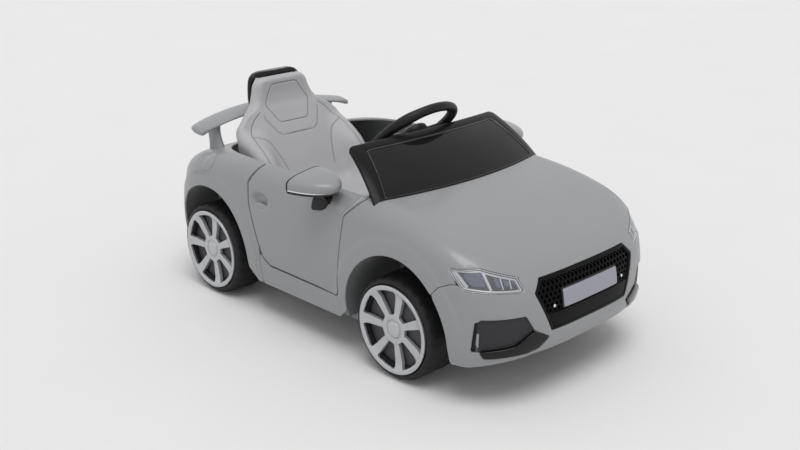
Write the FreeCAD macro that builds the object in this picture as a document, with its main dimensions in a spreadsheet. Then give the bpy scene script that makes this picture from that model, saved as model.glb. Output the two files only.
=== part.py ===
import FreeCAD, Part
import math
import os
import Sketcher

Vector = FreeCAD.Vector
doc = FreeCAD.newDocument("ride_on_car")

# Sizes in millimetres and degrees, with what each one is
SIZES = (
    ("half_length", 520, "nose or tail from the middle of the car"),
    ("half_width", 262, "body side from the middle at its widest"),
    ("wide_height", 190, "height of the widest part of the side"),
    ("upper_tuck", 14, "how far the side leans in at the shoulder"),
    ("upper_span", 143, "height over which it leans in upwards"),
    ("lower_tuck", 10, "how far the side leans in at the sill"),
    ("lower_span", 114, "height over which it leans in downwards"),
    ("bonnet_height", 338, "top of the body at the cockpit"),
    ("crown", 6, "fall of the bonnet from the middle to its sides"),
    ("shoulder_blend", 38, "rounding between side and top"),
    ("nose_start", 337, "where the front corners start to round"),
    ("nose_power", 3, "squareness of the front corners"),
    ("nose_height", 145, "height of the foremost point"),
    ("nose_upper_loss", 17, "lean of the nose above that point"),
    ("nose_upper_span", 98, "height over which the nose leans back"),
    ("nose_lower_loss", 19, "tuck of the nose below that point"),
    ("nose_lower_span", 65, "height over which the nose tucks under"),
    ("tail_start", -293, "where the rear corners start to round"),
    ("tail_power", 3.2, "squareness of the rear corners"),
    ("tail_height", 130, "height of the rearmost point"),
    ("tail_upper_loss", 30, "lean of the tail above that point"),
    ("tail_upper_span", 160, "height over which the tail leans in"),
    ("tail_lower_loss", 20, "tuck of the tail below that point"),
    ("tail_lower_span", 60, "height over which the tail tucks under"),
    ("bonnet_bend", 100, "where the bonnet starts to fall"),
    ("bonnet_drop", 88, "fall of the bonnet at its front edge"),
    ("bonnet_run", 395, "length over which it falls"),
    ("bonnet_power", 2.7, "curve of the bonnet"),
    ("deck_bend", -100, "where the rear deck starts to fall"),
    ("deck_drop", 68, "fall of the deck at its rear edge"),
    ("deck_run", 400, "length over which it falls"),
    ("deck_power", 2.5, "curve of the deck"),
    ("spine_height", 170, "height of the line the body is drawn around"),
    ("wall", 4, "wall of the body mouldings"),
    ("seat_gap", 0.3, "gap between neighbouring pieces"),
    ("running_gap", 0.05, "clearance of a shaft in its bore"),
    ("front_axle_x", 255, "front axle from the middle"),
    ("rear_axle_x", -323, "rear axle from the middle"),
    ("wheel_radius", 102, "tyre radius"),
    ("tyre_width", 90, "tyre width"),
    ("wheel_face", 256, "outer wheel face from the middle"),
    ("rim_radius", 88, "silver trim radius"),
    ("barrel_radius", 86, "hollow of the wheel from inside"),
    ("hub_radius", 16, "wheel hub radius"),
    ("axle_radius", 5, "axle radius"),
    ("arch_radius", 133, "wheel arch radius"),
    ("arch_shift", 8, "arch centre ahead of the axle"),
    ("arch_rise", 14, "arch centre above the axle"),
    ("liner_wall", 3, "arch liner wall"),
    ("sill_height", 75, "lower edge of the sill"),
    ("bumper_height", 81, "lower edge of the front bumper at its sides"),
    ("lip_height", 100, "lower edge of the front bumper in the middle"),
    ("tail_edge", 92, "lower edge of the rear bumper"),
    ("cockpit_half", 222, "cockpit opening from the middle"),
    ("cockpit_front", 182, "cockpit opening, front edge at its sides"),
    ("cockpit_rear", -140, "where the opening rounds behind the seat"),
    ("cockpit_depth", 276, "length of that rounding"),
    ("cockpit_power", 2.5, "squareness of that rounding"),
    ("door_front", 110, "door front edge at the bottom"),
    ("door_rear", -178, "door rear edge at its furthest"),
    ("door_bottom", 124, "door lower edge"),
    ("door_belt", 292, "height where the door edges start to lean"),
    ("door_wall", 10, "door thickness"),
    ("door_gap", 3, "gap round the door"),
    ("hinge_inset", 15, "hinge axis inside the body side"),
    ("hinge_back", 30, "hinge axis behind the door's front edge"),
    ("hinge_radius", 3, "hinge pin radius"),
    ("body_split", -140, "joint of front and rear body mouldings"),
    ("grille_top", 240, "top edge of the grille"),
    ("grille_mid", 218, "height of its widest corners"),
    ("grille_low", 142, "bottom edge of the grille"),
    ("grille_half_top", 125, "half of its top edge"),
    ("grille_half_mid", 145, "half of its widest"),
    ("grille_half_low", 111, "half of its bottom edge"),
    ("plate_half", 80, "half of the number plate"),
    ("plate_low", 178, "lower edge of the number plate"),
    ("plate_height", 34, "number plate height"),
    ("grille_room", 0.9, "extra gap behind the grille opening"),
    ("tail_room", 0.4, "extra gap behind the tail opening"),
    ("lens_wall", 2.5, "lamp lens thickness"),
    ("lamp_depth", 24, "depth of the lamp housings"),
    ("lamp_corner", 4, "rounding of the lamp openings"),
    ("screen_base_x", 226, "windscreen foot in the middle"),
    ("screen_sweep", 36, "how far its foot curves back at the sides"),
    ("screen_half", 230, "half of the windscreen foot"),
    ("screen_top_x", 104, "top edge in the middle"),
    ("screen_top_sweep", 24, "how far the top curves back at the sides"),
    ("screen_top_half", 206, "half of the top edge"),
    ("screen_top_z", 416, "top edge height"),
    ("screen_wall", 7, "windscreen frame thickness"),
    ("screen_band", 22, "frame width round the pane"),
    ("pane_wall", 3, "pane thickness"),
    ("floor_bottom", 62, "underside of the chassis"),
    ("tub_wall", 4, "wall of the chassis"),
    ("front_box_half", 118, "half of the chassis between the front wheels"),
    ("rear_box_half", 150, "half of the chassis between the rear wheels"),
    ("tub_half", 214, "half of the chassis under the cockpit"),
    ("tub_height", 110, "top of its side walls"),
    ("front_box_height", 190, "top of the front chassis box"),
    ("rear_box_height", 200, "top of the rear chassis box"),
    ("front_box_end", 400, "front end of the chassis"),
    ("rear_box_end", -440, "rear end of the chassis"),
    ("tub_front", 118, "front end of the cockpit floor"),
    ("tub_rear", -172, "rear end of the cockpit floor"),
    ("sill_plate", 86, "height of the plates that carry the sills"),
    ("kingpin_y", 178, "kingpin from the middle"),
    ("kingpin_radius", 6, "kingpin radius"),
    ("steer_arm", 60, "steering arm length"),
    ("steer_pin_y", 156, "steering arm pin from the middle"),
    ("tie_height", 126, "tie rod height"),
    ("wheel_hub_x", 50, "steering wheel centre, forward"),
    ("wheel_hub_z", 397, "steering wheel centre, height"),
    ("column_tilt", 48, "column below the horizontal"),
    ("column_length", 343, "steering wheel to crank along the column"),
    ("column_radius", 6, "column radius"),
    ("crank_arm", 36, "crank arm length"),
    ("ring_radius", 92, "steering wheel ring radius"),
    ("ring_tube", 11, "steering wheel ring thickness radius"),
    ("dash_half", 165, "half of the dashboard"),
    ("dash_face", 96, "dashboard face towards the driver"),
    ("dash_low", 250, "lower edge of that face"),
    ("seat_half", 148, "half of the seat at its base"),
    ("seat_top", 450, "top of the headrest"),
    ("head_half", 66, "half of the headrest at its top"),
    ("shoulder_z", 346, "height of the seat shoulders"),
    ("channel_half", 104, "half of the hollow between the seat bolsters"),
    ("seat_back_x", -370, "front of the headrest"),
    ("seat_front_x", -102, "front edge of the seat"),
    ("shell_wall", 16, "thickness of the seat's back shell"),
    ("spoiler_half", 216, "half of the spoiler blade"),
    ("spoiler_x", -436, "spoiler blade, middle"),
    ("spoiler_z", 367, "spoiler blade height in the middle"),
    ("spoiler_sweep", 24, "how far its ends sweep forward"),
    ("spoiler_droop", 20, "how far its ends droop"),
    ("spoiler_chord", 62, "spoiler blade depth"),
    ("spoiler_tilt", 0.04, "fall of the blade towards its front, as a share of its depth"),
    ("stand_y", 165, "spoiler stand from the middle"),
    ("mirror_x", 64, "mirror centre, forward"),
    ("mirror_y", 276, "mirror centre from the middle"),
    ("mirror_z", 354, "mirror centre height"),
    ("mirror_long", 46, "half width of the mirror shell"),
    ("mirror_deep", 54, "half depth of the mirror shell"),
    ("mirror_tall", 25, "half height of the mirror shell"),
    ("gearbox_y", 110, "inner face of the gearboxes from the middle"),
    ("gearbox_height", 92, "gearbox height"),
    ("motor_radius", 18, "motor radius"),
    ("motor_length", 50, "motor length"),
    ("battery_length", 151, "battery length"),
    ("battery_width", 65, "battery width"),
    ("battery_height", 94, "battery height"),
    ("pedal_y", -56, "accelerator pedal from the middle"),
    ("pedal_half", 26, "half of the pedal"),
    ("pedal_x", 186, "pedal hinge, forward"),
    ("pedal_length", 62, "pedal length"),
    ("pedal_tilt", 42, "pedal above the floor"),
    ("pedal_pin", 3, "pedal pin radius"),
    ("button_radius", 9, "power button radius"),
    ("screw_radius", 5, "screw head radius"),
    ("screw_height", 2, "screw head height"),
    ("flap_x", -327, "fuel flap, forward"),
    ("flap_z", 303, "fuel flap height"),
    ("flap_radius", 22, "fuel flap radius"),
    ("flap_wall", 1.2, "fuel flap thickness"),
)
sheet = doc.addObject("Spreadsheet::Sheet", "Sizes")
for row, (alias, value, meaning) in enumerate(SIZES, start=1):
    sheet.set("A%d" % row, meaning)
    sheet.set("B%d" % row, str(value))
    sheet.setAlias("B%d" % row, alias)
doc.recompute()


class Size:
    """A number that remembers how it was worked out from the sheet."""

    def __init__(self, value, text):
        self.value = value
        self.text = text

    def join(self, other, sign, swapped=False):
        other_text = other.text if isinstance(other, Size) else repr(float(other))
        first, second = (float(other), self.value) if swapped else (self.value, float(other))
        left, right = (other_text, self.text) if swapped else (self.text, other_text)
        if sign == "+":
            value = first + second
        elif sign == "-":
            value = first - second
        elif sign == "*":
            value = first * second
        else:
            value = first / second
        return Size(value, "(%s %s %s)" % (left, sign, right))

    def __float__(self):
        return self.value

    def __neg__(self):
        return Size(-self.value, "(0 - %s)" % self.text)

    def __add__(self, other):
        return self.join(other, "+")

    def __radd__(self, other):
        return self.join(other, "+", True)

    def __sub__(self, other):
        return self.join(other, "-")

    def __rsub__(self, other):
        return self.join(other, "-", True)

    def __mul__(self, other):
        return self.join(other, "*")

    def __rmul__(self, other):
        return self.join(other, "*", True)

    def __truediv__(self, other):
        return self.join(other, "/")

    def __rtruediv__(self, other):
        return self.join(other, "/", True)


class SheetSizes:
    """Every alias of the sheet as a Size."""


S = SheetSizes()
for alias, value, meaning in SIZES:
    setattr(S, alias, Size(float(sheet.get(alias)), "Sizes." + alias))

NODES = {}


def node(name, item):
    """Keeps an object as a sub-part under its own label."""
    item.Label = name
    NODES[name] = item
    return item


# Primitives with sizes bound to the sheet

def bind(item, prop, value):
    if isinstance(value, Size):
        item.setExpression(prop, value.text)
    else:
        setattr(item, prop, value)


def place(item, point, rotation=None):
    item.Placement = FreeCAD.Placement(Vector(*[float(c) for c in point]), rotation or FreeCAD.Rotation())
    for axis, value in zip("xyz", point):
        if isinstance(value, Size):
            item.setExpression("Placement.Base." + axis, value.text)
    return item


TURN = {
    "X": FreeCAD.Rotation(Vector(0, 1, 0), 90),
    "Y": FreeCAD.Rotation(Vector(1, 0, 0), -90),
    "Z": FreeCAD.Rotation(),
}


class Frame:
    """A tilted frame that primitives can be placed in."""

    def __init__(self, origin, rotation):
        self.origin = origin
        self.rotation = rotation

    def point(self, local):
        axes = [self.rotation.multVec(Vector(*unit)) for unit in ((1, 0, 0), (0, 1, 0), (0, 0, 1))]
        result = []
        for index, start in enumerate(self.origin):
            total = start
            for axis, length in zip(axes, local):
                total = total + length * axis[index]
            result.append(total)
        return result


WORLD = Frame((0, 0, 0), FreeCAD.Rotation())


def box(name, x_span, y_span, z_span, frame=WORLD):
    item = doc.addObject("Part::Box", name)
    for prop, span in zip(("Length", "Width", "Height"), (x_span, y_span, z_span)):
        bind(item, prop, span[1] - span[0])
    return place(item, frame.point((x_span[0], y_span[0], z_span[0])), frame.rotation)


def rod(name, radius, along, start, length, frame=WORLD):
    item = doc.addObject("Part::Cylinder", name)
    bind(item, "Radius", radius)
    bind(item, "Height", length)
    return place(item, frame.point(start), frame.rotation.multiply(TURN[along]))


def fuse(name, *items):
    result = doc.addObject("Part::MultiFuse", name)
    result.Shapes = list(items)
    return result


def cut(name, base, *tools):
    result = doc.addObject("Part::Cut", name)
    result.Base = base
    result.Tool = tools[0] if len(tools) == 1 else fuse(name + "_tools", *tools)
    return result


def mirror(name, source):
    """The left-hand copy of a right-hand piece."""
    result = doc.addObject("Part::Mirroring", name)
    result.Source = source
    result.Normal = Vector(0, 1, 0)
    return result


def both_sides(name, right):
    """Keeps a right-hand piece and its left-hand copy as two sub-parts."""
    node(name + "_right", right)
    node(name + "_left", mirror(name + "_left", right))


def pair_node(name, right):
    """One sub-part of a right-hand solid and its mirror image."""
    group = doc.addObject("Part::Compound", name)
    group.Links = [right, mirror(name + "_other", right)]
    return node(name, group)


def feature(name, shape):
    item = doc.addObject("Part::Feature", name)
    item.Shape = shape
    return item


# Sketched bodies

def plane_of(body, role):
    return [item for item in body.Origin.OriginFeatures if item.Role == role][0]


def sketch_on(body, role, name, *outlines):
    """A sketch of closed straight-sided outlines, each corner tied to the sheet."""
    sketch = body.newObject("Sketcher::SketchObject", name)
    sketch.AttachmentSupport = [(plane_of(body, role), "")]
    sketch.MapMode = "FlatFace"
    for outline in outlines:
        first = sketch.GeometryCount
        count = len(outline)
        corners = [Vector(float(a), float(b), 0) for a, b in outline]
        for index in range(count):
            line = Part.LineSegment(corners[index], corners[(index + 1) % count])
            sketch.addGeometry(line, False)
        for index in range(count):
            follow = first + (index + 1) % count
            sketch.addConstraint(Sketcher.Constraint("Coincident", first + index, 2, follow, 1))
        for index, corner in enumerate(outline):
            for kind, value in zip(("DistanceX", "DistanceY"), corner):
                rule = Sketcher.Constraint(kind, -1, 1, first + index, 1, float(value))
                number = sketch.addConstraint(rule)
                if isinstance(value, Size):
                    sketch.setExpression("Constraints[%d]" % number, value.text)
    return sketch


def new_body(name):
    return doc.addObject("PartDesign::Body", name)


def revolve(body, name, sketch):
    turned = body.newObject("PartDesign::Revolution", name)
    turned.Profile = sketch
    turned.ReferenceAxis = (sketch, ["V_Axis"])
    turned.Angle = 360
    return turned


def pad(body, name, sketch, length, both_ways=False):
    padded = body.newObject("PartDesign::Pad", name)
    padded.Profile = sketch
    padded.Midplane = both_ways
    bind(padded, "Length", length)
    return padded


def pocket_through(body, name, sketch):
    pocket = body.newObject("PartDesign::Pocket", name)
    pocket.Profile = sketch
    pocket.Type = "ThroughAll"
    pocket.Midplane = True
    return pocket


def repeat_round(body, name, source, count):
    pattern = body.newObject("PartDesign::PolarPattern", name)
    pattern.Originals = [source]
    pattern.Axis = (plane_of(body, "Z_Axis"), [""])
    pattern.Angle = 360
    pattern.Occurrences = count
    body.Tip = pattern
    return pattern


# The body's outer form: a rounded plan outline met by a falling top

def bow(height, middle, upper, upper_span, lower, lower_span):
    if height > middle:
        return upper * ((height - middle) / upper_span) ** 2
    return lower * ((middle - height) / lower_span) ** 2


def side_half(z):
    return S.half_width.value - bow(z, S.wide_height.value, S.upper_tuck.value, S.upper_span.value,
                                    S.lower_tuck.value, S.lower_span.value)


def nose_reach(z):
    loss = bow(z, S.nose_height.value, S.nose_upper_loss.value, S.nose_upper_span.value,
               S.nose_lower_loss.value, S.nose_lower_span.value)
    return max(S.half_length.value - S.nose_start.value - loss, S.wall.value)


def tail_reach(z):
    loss = bow(z, S.tail_height.value, S.tail_upper_loss.value, S.tail_upper_span.value,
               S.tail_lower_loss.value, S.tail_lower_span.value)
    return max(S.half_length.value + S.tail_start.value - loss, S.wall.value)


def top_height(x, y, half):
    fall = 0.0
    if x > S.bonnet_bend.value:
        run = (x - S.bonnet_bend.value) / S.bonnet_run.value
        fall = S.bonnet_drop.value * run ** S.bonnet_power.value
    elif x < S.deck_bend.value:
        run = (S.deck_bend.value - x) / S.deck_run.value
        fall = S.deck_drop.value * run ** S.deck_power.value
    return S.bonnet_height.value - fall - S.crown.value * (y / half) ** 2


def outside(x, y, z):
    """About how far a point is outside the body; negative inside."""
    half = side_half(z)
    across = abs(y) / half
    along, reach, power = 0.0, half, S.nose_power.value
    if x > S.nose_start.value:
        reach = nose_reach(z)
        along = (x - S.nose_start.value) / reach
    elif x < S.tail_start.value:
        reach, power = tail_reach(z), S.tail_power.value
        along = (S.tail_start.value - x) / reach
    round_size = (along ** power + across ** power) ** (1 / power)
    if round_size > 0:
        slope_x = (along / round_size) ** (power - 1) / reach
        slope_y = (across / round_size) ** (power - 1) / half
        side = (round_size - 1) / math.hypot(slope_x, slope_y)
    else:
        side = -half
    top = z - top_height(x, y, half)
    blend = S.shoulder_blend.value
    overlap = max(blend - abs(side - top), 0.0)
    return max(side, top) + overlap ** 2 / (4 * blend)


def surface_point(start, direction):
    near, far = 0.0, 2 * S.half_length.value
    for _ in range(40):
        middle = (near + far) / 2
        if outside(*(start + direction * middle)) < 0:
            near = middle
        else:
            far = middle
    return start + direction * near


def surface_normal(point):
    step = 0.5
    gradient = Vector()
    for axis in (Vector(1, 0, 0), Vector(0, 1, 0), Vector(0, 0, 1)):
        rise = outside(*(point + axis * step)) - outside(*(point - axis * step))
        gradient = gradient + axis * rise
    return gradient.normalize()


FAN_STEPS, FAN_ANGLE = 14, 84
MIDDLE_STEPS, ROUND_STEPS = 18, 24
SIDE_LOW, END_LOW, END_BLEND, TOP_END = -32, -94, 24, 94


def skin_rays():
    """Rows of start points and directions over the right half and a little past the middle."""
    rows = []
    for step in range(-FAN_STEPS, MIDDLE_STEPS + FAN_STEPS + 1):
        share = min(max(step / MIDDLE_STEPS, 0), 1)
        x = S.tail_start.value + share * (S.nose_start.value - S.tail_start.value)
        beyond = step if step < 0 else max(step - MIDDLE_STEPS, 0)
        lean = math.radians(FAN_ANGLE * beyond / FAN_STEPS)
        ease = min(abs(math.degrees(lean)) / END_BLEND, 1)
        low = SIDE_LOW + (END_LOW - SIDE_LOW) * ease * ease * (3 - 2 * ease)
        row = []
        for part in range(ROUND_STEPS + 1):
            angle = math.radians(low + (TOP_END - low) * part / ROUND_STEPS)
            direction = Vector(math.sin(lean), -math.cos(lean) * math.cos(angle),
                               math.cos(lean) * math.sin(angle))
            row.append((Vector(x, 0, S.spine_height.value), direction))
        rows.append(row)
    return rows


SKIN = []
for ray_row in skin_rays():
    skin_row = []
    for start, direction in ray_row:
        point = surface_point(start, direction)
        normal = surface_normal(point)
        skin_row.append((point, normal))
    SKIN.append(skin_row)


def grid_face(points):
    surface = Part.BSplineSurface()
    surface.interpolate(points)
    return surface


def thick_patch(outer_points, inner_points):
    """A solid between two grids of points, its sides ruled."""
    outer, inner = grid_face(outer_points), grid_face(inner_points)
    faces = [outer.toShape(), inner.toShape()]
    u_low, u_high, v_low, v_high = outer.bounds()
    a_low, a_high, b_low, b_high = inner.bounds()
    pairs = (
        (outer.uIso(u_low), inner.uIso(a_low)),
        (outer.uIso(u_high), inner.uIso(a_high)),
        (outer.vIso(v_low), inner.vIso(b_low)),
        (outer.vIso(v_high), inner.vIso(b_high)),
    )
    for first, second in pairs:
        faces.append(Part.makeRuledSurface(first.toShape(), second.toShape()))
    shell = Part.makeShell(faces)
    shell.sewShape()
    solid = Part.makeSolid(shell)
    if solid.Volume < 0:
        solid.reverse()
    return solid


FAR = 2 * S.half_length.value
LAYERS = {}


def skin_layer(start_depth, end_depth):
    """The right half of the body's skin between two depths below its outside, made once."""
    depths = (start_depth, end_depth)
    if depths not in LAYERS:
        grids = []
        for depth in depths:
            grids.append([[point - normal * depth for point, normal in row] for row in SKIN])
        right_half = Part.makeBox(2 * FAR, FAR, 2 * FAR, Vector(-FAR, -FAR, -FAR))
        LAYERS[depths] = thick_patch(*grids).common(right_half)
    return LAYERS[depths]


# Cutting prisms

def prism(points, direction):
    corners = [Vector(*point) for point in points]
    wire = Part.makePolygon(corners + corners[:1])
    return Part.Face(wire).extrude(Vector(*direction))


def side_prism(outline, low_y, high_y, rounding=0.0):
    """An outline in the side view, carried across the car."""
    solid = prism([(x, low_y, z) for x, z in outline], (0, high_y - low_y, 0))
    return round_edges(solid, Vector(0, 1, 0), rounding)


def round_edges(solid, direction, rounding):
    if rounding <= 0:
        return solid
    edges = []
    for edge in solid.Edges:
        ends = edge.Vertexes
        if len(ends) == 2:
            run = ends[1].Point - ends[0].Point
            if run.cross(direction).Length < run.Length * 1e-6:
                edges.append(edge)
    return solid.makeFillet(rounding, edges)


def corner_prism(outline, x_sign, rounding=0.0):
    """An outline seen square on to a right-hand corner, carried inwards.

    Each outline point is a distance along the corner and a height.
    """
    slant = math.sqrt(0.5)
    outward = Vector(x_sign * slant, -slant, 0)
    sideways = Vector(x_sign * slant, slant, 0)
    outer = 0.62 * FAR
    points = [outward * outer + sideways * reach + Vector(0, 0, height) for reach, height in outline]
    solid = prism([tuple(point) for point in points], tuple(outward * (0.25 * FAR - outer)))
    return round_edges(solid, outward, rounding)


def grown(outline, amount):
    """An outline with every side moved outwards by an amount."""
    count = len(outline)
    area = sum(outline[i][0] * outline[(i + 1) % count][1] - outline[(i + 1) % count][0] * outline[i][1]
               for i in range(count))
    turn = 1.0 if area > 0 else -1.0
    lines = []
    for index in range(count):
        ax, ay = outline[index]
        bx, by = outline[(index + 1) % count]
        length = math.hypot(bx - ax, by - ay)
        nx, ny = turn * (by - ay) / length, -turn * (bx - ax) / length
        lines.append((nx, ny, nx * ax + ny * ay + amount))
    result = []
    for index in range(count):
        a1, b1, c1 = lines[index - 1]
        a2, b2, c2 = lines[index]
        cross = a1 * b2 - a2 * b1
        result.append(((c1 * b2 - c2 * b1) / cross, (a1 * c2 - a2 * c1) / cross))
    return result


def arch_space(axle_x, radius, low_y, high_y):
    """The round-topped space of a wheel arch on the right."""
    x = axle_x.value + S.arch_shift.value
    z = S.wheel_radius.value + S.arch_rise.value
    tunnel = Part.makeCylinder(radius, high_y - low_y, Vector(x, -high_y, z), Vector(0, 1, 0))
    below = Part.makeBox(2 * radius, high_y - low_y, z, Vector(x - radius, -high_y, 0))
    return tunnel.fuse(below)


def below_body():
    """Everything under the body's lower edge."""
    sill, corner = S.sill_height.value, 26
    front_foot = S.front_axle_x.value + S.arch_shift.value - S.arch_radius.value
    rear_foot = S.rear_axle_x.value + S.arch_shift.value + S.arch_radius.value
    nose = S.half_length.value
    edge = [
        (-FAR, -FAR), (-FAR, S.tail_edge.value), (rear_foot - 2 * S.arch_radius.value, S.tail_edge.value),
        (rear_foot - corner, sill + 2 * corner), (rear_foot, sill + corner), (rear_foot + corner, sill),
        (front_foot - corner, sill + 3), (front_foot, sill + corner),
        (front_foot + corner, sill + 2 * corner),
        (front_foot + 2 * S.arch_radius.value - corner, S.bumper_height.value),
        (nose - 90, S.bumper_height.value), (nose - 22, S.lip_height.value), (FAR, S.lip_height.value),
        (FAR, -FAR),
    ]
    return side_prism(edge, -FAR, FAR)


def cockpit_space():
    """The cockpit opening, seen from above and carried upwards."""
    half, front = S.cockpit_half.value, S.cockpit_front.value
    rear, depth, power = S.cockpit_rear.value, S.cockpit_depth.value, S.cockpit_power.value
    floor = S.door_belt.value - 60
    points = []
    for step in range(25):
        angle = math.radians(-90 + 180 * step / 24)
        across = math.sin(angle)
        along = math.cos(angle)
        squared = 2 / power
        y = half * math.copysign(abs(across) ** squared, across)
        points.append(Vector(rear - depth * abs(along) ** squared, y, floor))
    curve = Part.BSplineCurve()
    curve.interpolate(points)
    right = Part.LineSegment(Vector(front, -half, floor), points[0])
    left = Part.LineSegment(points[-1], Vector(front, half, floor))
    bow_front = Part.Arc(Vector(front, half, floor), Vector(front + S.screen_sweep.value * 0.8, 0, floor),
                         Vector(front, -half, floor))
    wire = Part.Wire([right.toShape(), curve.toShape(), left.toShape(), bow_front.toShape()])
    return Part.Face(wire).extrude(Vector(0, 0, FAR / 2))


def door_outline():
    front, rear, low, belt = (S.door_front.value, S.door_rear.value, S.door_bottom.value, S.door_belt.value)
    high = S.bonnet_height.value + 30
    lean = high - belt
    return [
        (rear + 46 + lean * 0.1, high), (rear, belt), (rear + 5, belt - 46), (rear + 46, low + 14),
        (rear + 72, low), (front, low), (front + 2, belt - 92), (front + 12, belt), (front + 12 + lean, high),
    ]


def seam_outline():
    """The front bumper's part of the side view."""
    arch_front = S.front_axle_x.value + S.arch_shift.value
    nose = S.half_length.value
    return [
        (arch_front + 77, 0), (arch_front + 77, 185), (arch_front + 114, 227), (arch_front + 137, 238),
        (nose - 80, 243), (nose - 40, 247), (nose + 30, 250), (nose + 30, 0),
    ]


def tail_outline():
    """The rear bumper's part of the side view."""
    tail = -S.half_length.value
    return [(tail - 30, 0), (tail - 30, 196), (tail + 60, 196), (tail + 90, 176), (tail + 90, 0)]


def grille_outline():
    return [
        (S.grille_half_top.value, S.grille_top.value), (S.grille_half_mid.value, S.grille_mid.value),
        (S.grille_half_low.value, S.grille_low.value), (-S.grille_half_low.value, S.grille_low.value),
        (-S.grille_half_mid.value, S.grille_mid.value), (-S.grille_half_top.value, S.grille_top.value),
    ]


# Corner outlines: distance along the corner, height
LAMP = [(96, 266), (123, 232), (233, 225), (218, 249), (153, 268)]
INTAKE = [(154, 181), (153, 119.5), (217, 128), (252, 153), (236, 182)]
INTAKE_BACK = [(131, 192), (129, 98), (244, 98), (262, 150), (242, 190)]
BLADE = [(153, 118.5), (217, 127), (253, 152), (282, 132), (258, 109), (163, 104)]
SLOT = [(145, 176), (139, 116), (146, 116), (149.5, 176)]
TAIL_LAMP = [(140, 264), (150, 230), (262, 226), (250, 260)]


def plate_outline(low):
    half, high = S.plate_half.value, low + S.plate_height.value
    return [(-half, low), (half, low), (half, high), (-half, high)]


def tail_opening():
    low, high, half = S.tail_height.value + 10, 196, S.plate_half.value + 12
    return [(-half, low), (half, low), (half, high), (-half, high)]


def end_prism(outline, x_sign):
    """An outline seen from the front or rear, carried into that end."""
    start = x_sign * 0.8 * S.half_length.value
    return prism([(start, y, z) for y, z in outline], (x_sign * FAR / 4, 0, 0))


def end_layer(x_sign, low, high, half, start_depth, end_depth):
    """A patch of the nose or tail between two depths below its outside."""
    layers = ([], [])
    for row in range(13):
        y = half * (row / 6 - 1)
        lines = ([], [])
        for step in range(9):
            z = low + (high - low) * step / 8
            point = surface_point(Vector(0, y, z), Vector(x_sign, 0, 0))
            normal = surface_normal(point)
            for line, depth in zip(lines, (start_depth, end_depth)):
                line.append(point - normal * depth)
        for layer, line in zip(layers, lines):
            layer.append(line)
    return thick_patch(*layers)


wall, gap = S.wall.value, S.seat_gap.value
skin = skin_layer(0, wall)
low_edge = below_body()
cockpit = cockpit_space()
front_arch = arch_space(S.front_axle_x, S.arch_radius.value, S.front_box_half.value, FAR)
rear_arch = arch_space(S.rear_axle_x, S.arch_radius.value, S.front_box_half.value, FAR)
door_inner = S.cockpit_half.value - 30
door_hole = side_prism(door_outline(), -FAR, -door_inner, 14)
lamp_corner = S.lamp_corner.value
lamp_hole = corner_prism(LAMP, 1, lamp_corner)
tail_hole = corner_prism(TAIL_LAMP, -1, lamp_corner)
front_holes = [corner_prism(INTAKE, 1, 3), corner_prism(BLADE, 1), corner_prism(SLOT, 1),
               end_prism(grille_outline(), 1)]
bumper_zone = side_prism(seam_outline(), -FAR, FAR)
tail_zone = side_prism(tail_outline(), -FAR, FAR)
trimmed = skin.cut([low_edge, front_arch, rear_arch, cockpit, lamp_hole, tail_hole])
nose_half = trimmed.common(bumper_zone).cut(front_holes)
tail_half = trimmed.common(tail_zone).cut(end_prism(tail_opening(), -1))
shell_half = trimmed.cut([bumper_zone, tail_zone, door_hole])


def flipped(shape):
    return shape.mirror(Vector(), Vector(0, 1, 0))


def whole(half):
    """A right half joined to its own mirror image."""
    return half.fuse(flipped(half))


def shell_node(name, shape):
    return node(name, feature(name, shape))


def shell_pair(name, right):
    shell_node(name + "_right", right)
    shell_node(name + "_left", flipped(right))


front_zone = Part.makeBox(FAR, FAR, FAR, Vector(S.body_split.value, -FAR / 2, 0))
shell_node("front_body", whole(shell_half.common(front_zone)))
shell_node("rear_body", whole(shell_half.cut(front_zone)))
shell_node("front_bumper", whole(nose_half))
shell_node("rear_bumper", whole(tail_half))

# Pieces set into the nose and tail

behind = wall + gap
panel_wall = 3.0


def lamp(name, outline, x_sign):
    """A pair of clear lenses flush with the body; gives the right-hand housing behind them."""
    lens = S.lens_wall.value
    depth = S.lamp_depth.value
    outer = corner_prism(grown(outline, -gap), x_sign, lamp_corner - gap)
    inner = corner_prism(grown(outline, -gap - 2), x_sign)
    shell_pair(name + "_lens", skin_layer(0, lens).common(outer))
    tray = skin_layer(lens, depth).common(outer)
    hollow = skin_layer(0, depth - 2).common(inner)
    return tray.cut(hollow)


shell_pair("headlamp_housing", lamp("headlamp", LAMP, 1))
tail_housing = lamp("tail_lamp", TAIL_LAMP, -1)
shell_node("tail_lamp_housings", Part.makeCompound([tail_housing, flipped(tail_housing)]))
shell_pair("intake_panel", skin_layer(behind, behind + panel_wall).common(corner_prism(INTAKE_BACK, 1)))
blade_outline = grown(BLADE, -gap)
shell_pair("splitter_blade", skin_layer(-panel_wall, wall).common(corner_prism(blade_outline, 1)))
NOSE_PATCH = (1, S.grille_low.value - 12, S.grille_top.value + 9, S.grille_half_mid.value + 12)
TAIL_PATCH = (-1, S.tail_height.value - 4, 210, S.plate_half.value + 30)
grille_back = behind + S.grille_room.value
grille_panel = end_layer(*NOSE_PATCH, grille_back, grille_back + wall)
shell_node("grille_panel", grille_panel.common(end_prism(grown(grille_outline(), 4), 1)))
front_plate = end_layer(*NOSE_PATCH, 0, grille_back)
shell_node("number_plate_front", front_plate.common(end_prism(plate_outline(S.plate_low.value), 1)))
tail_back = behind + S.tail_room.value
tail_panel = end_layer(*TAIL_PATCH, tail_back, tail_back + wall)
shell_node("tail_panel", tail_panel.common(end_prism(grown(tail_opening(), 6), -1)))

# Doors with their hinge eyes

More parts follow.
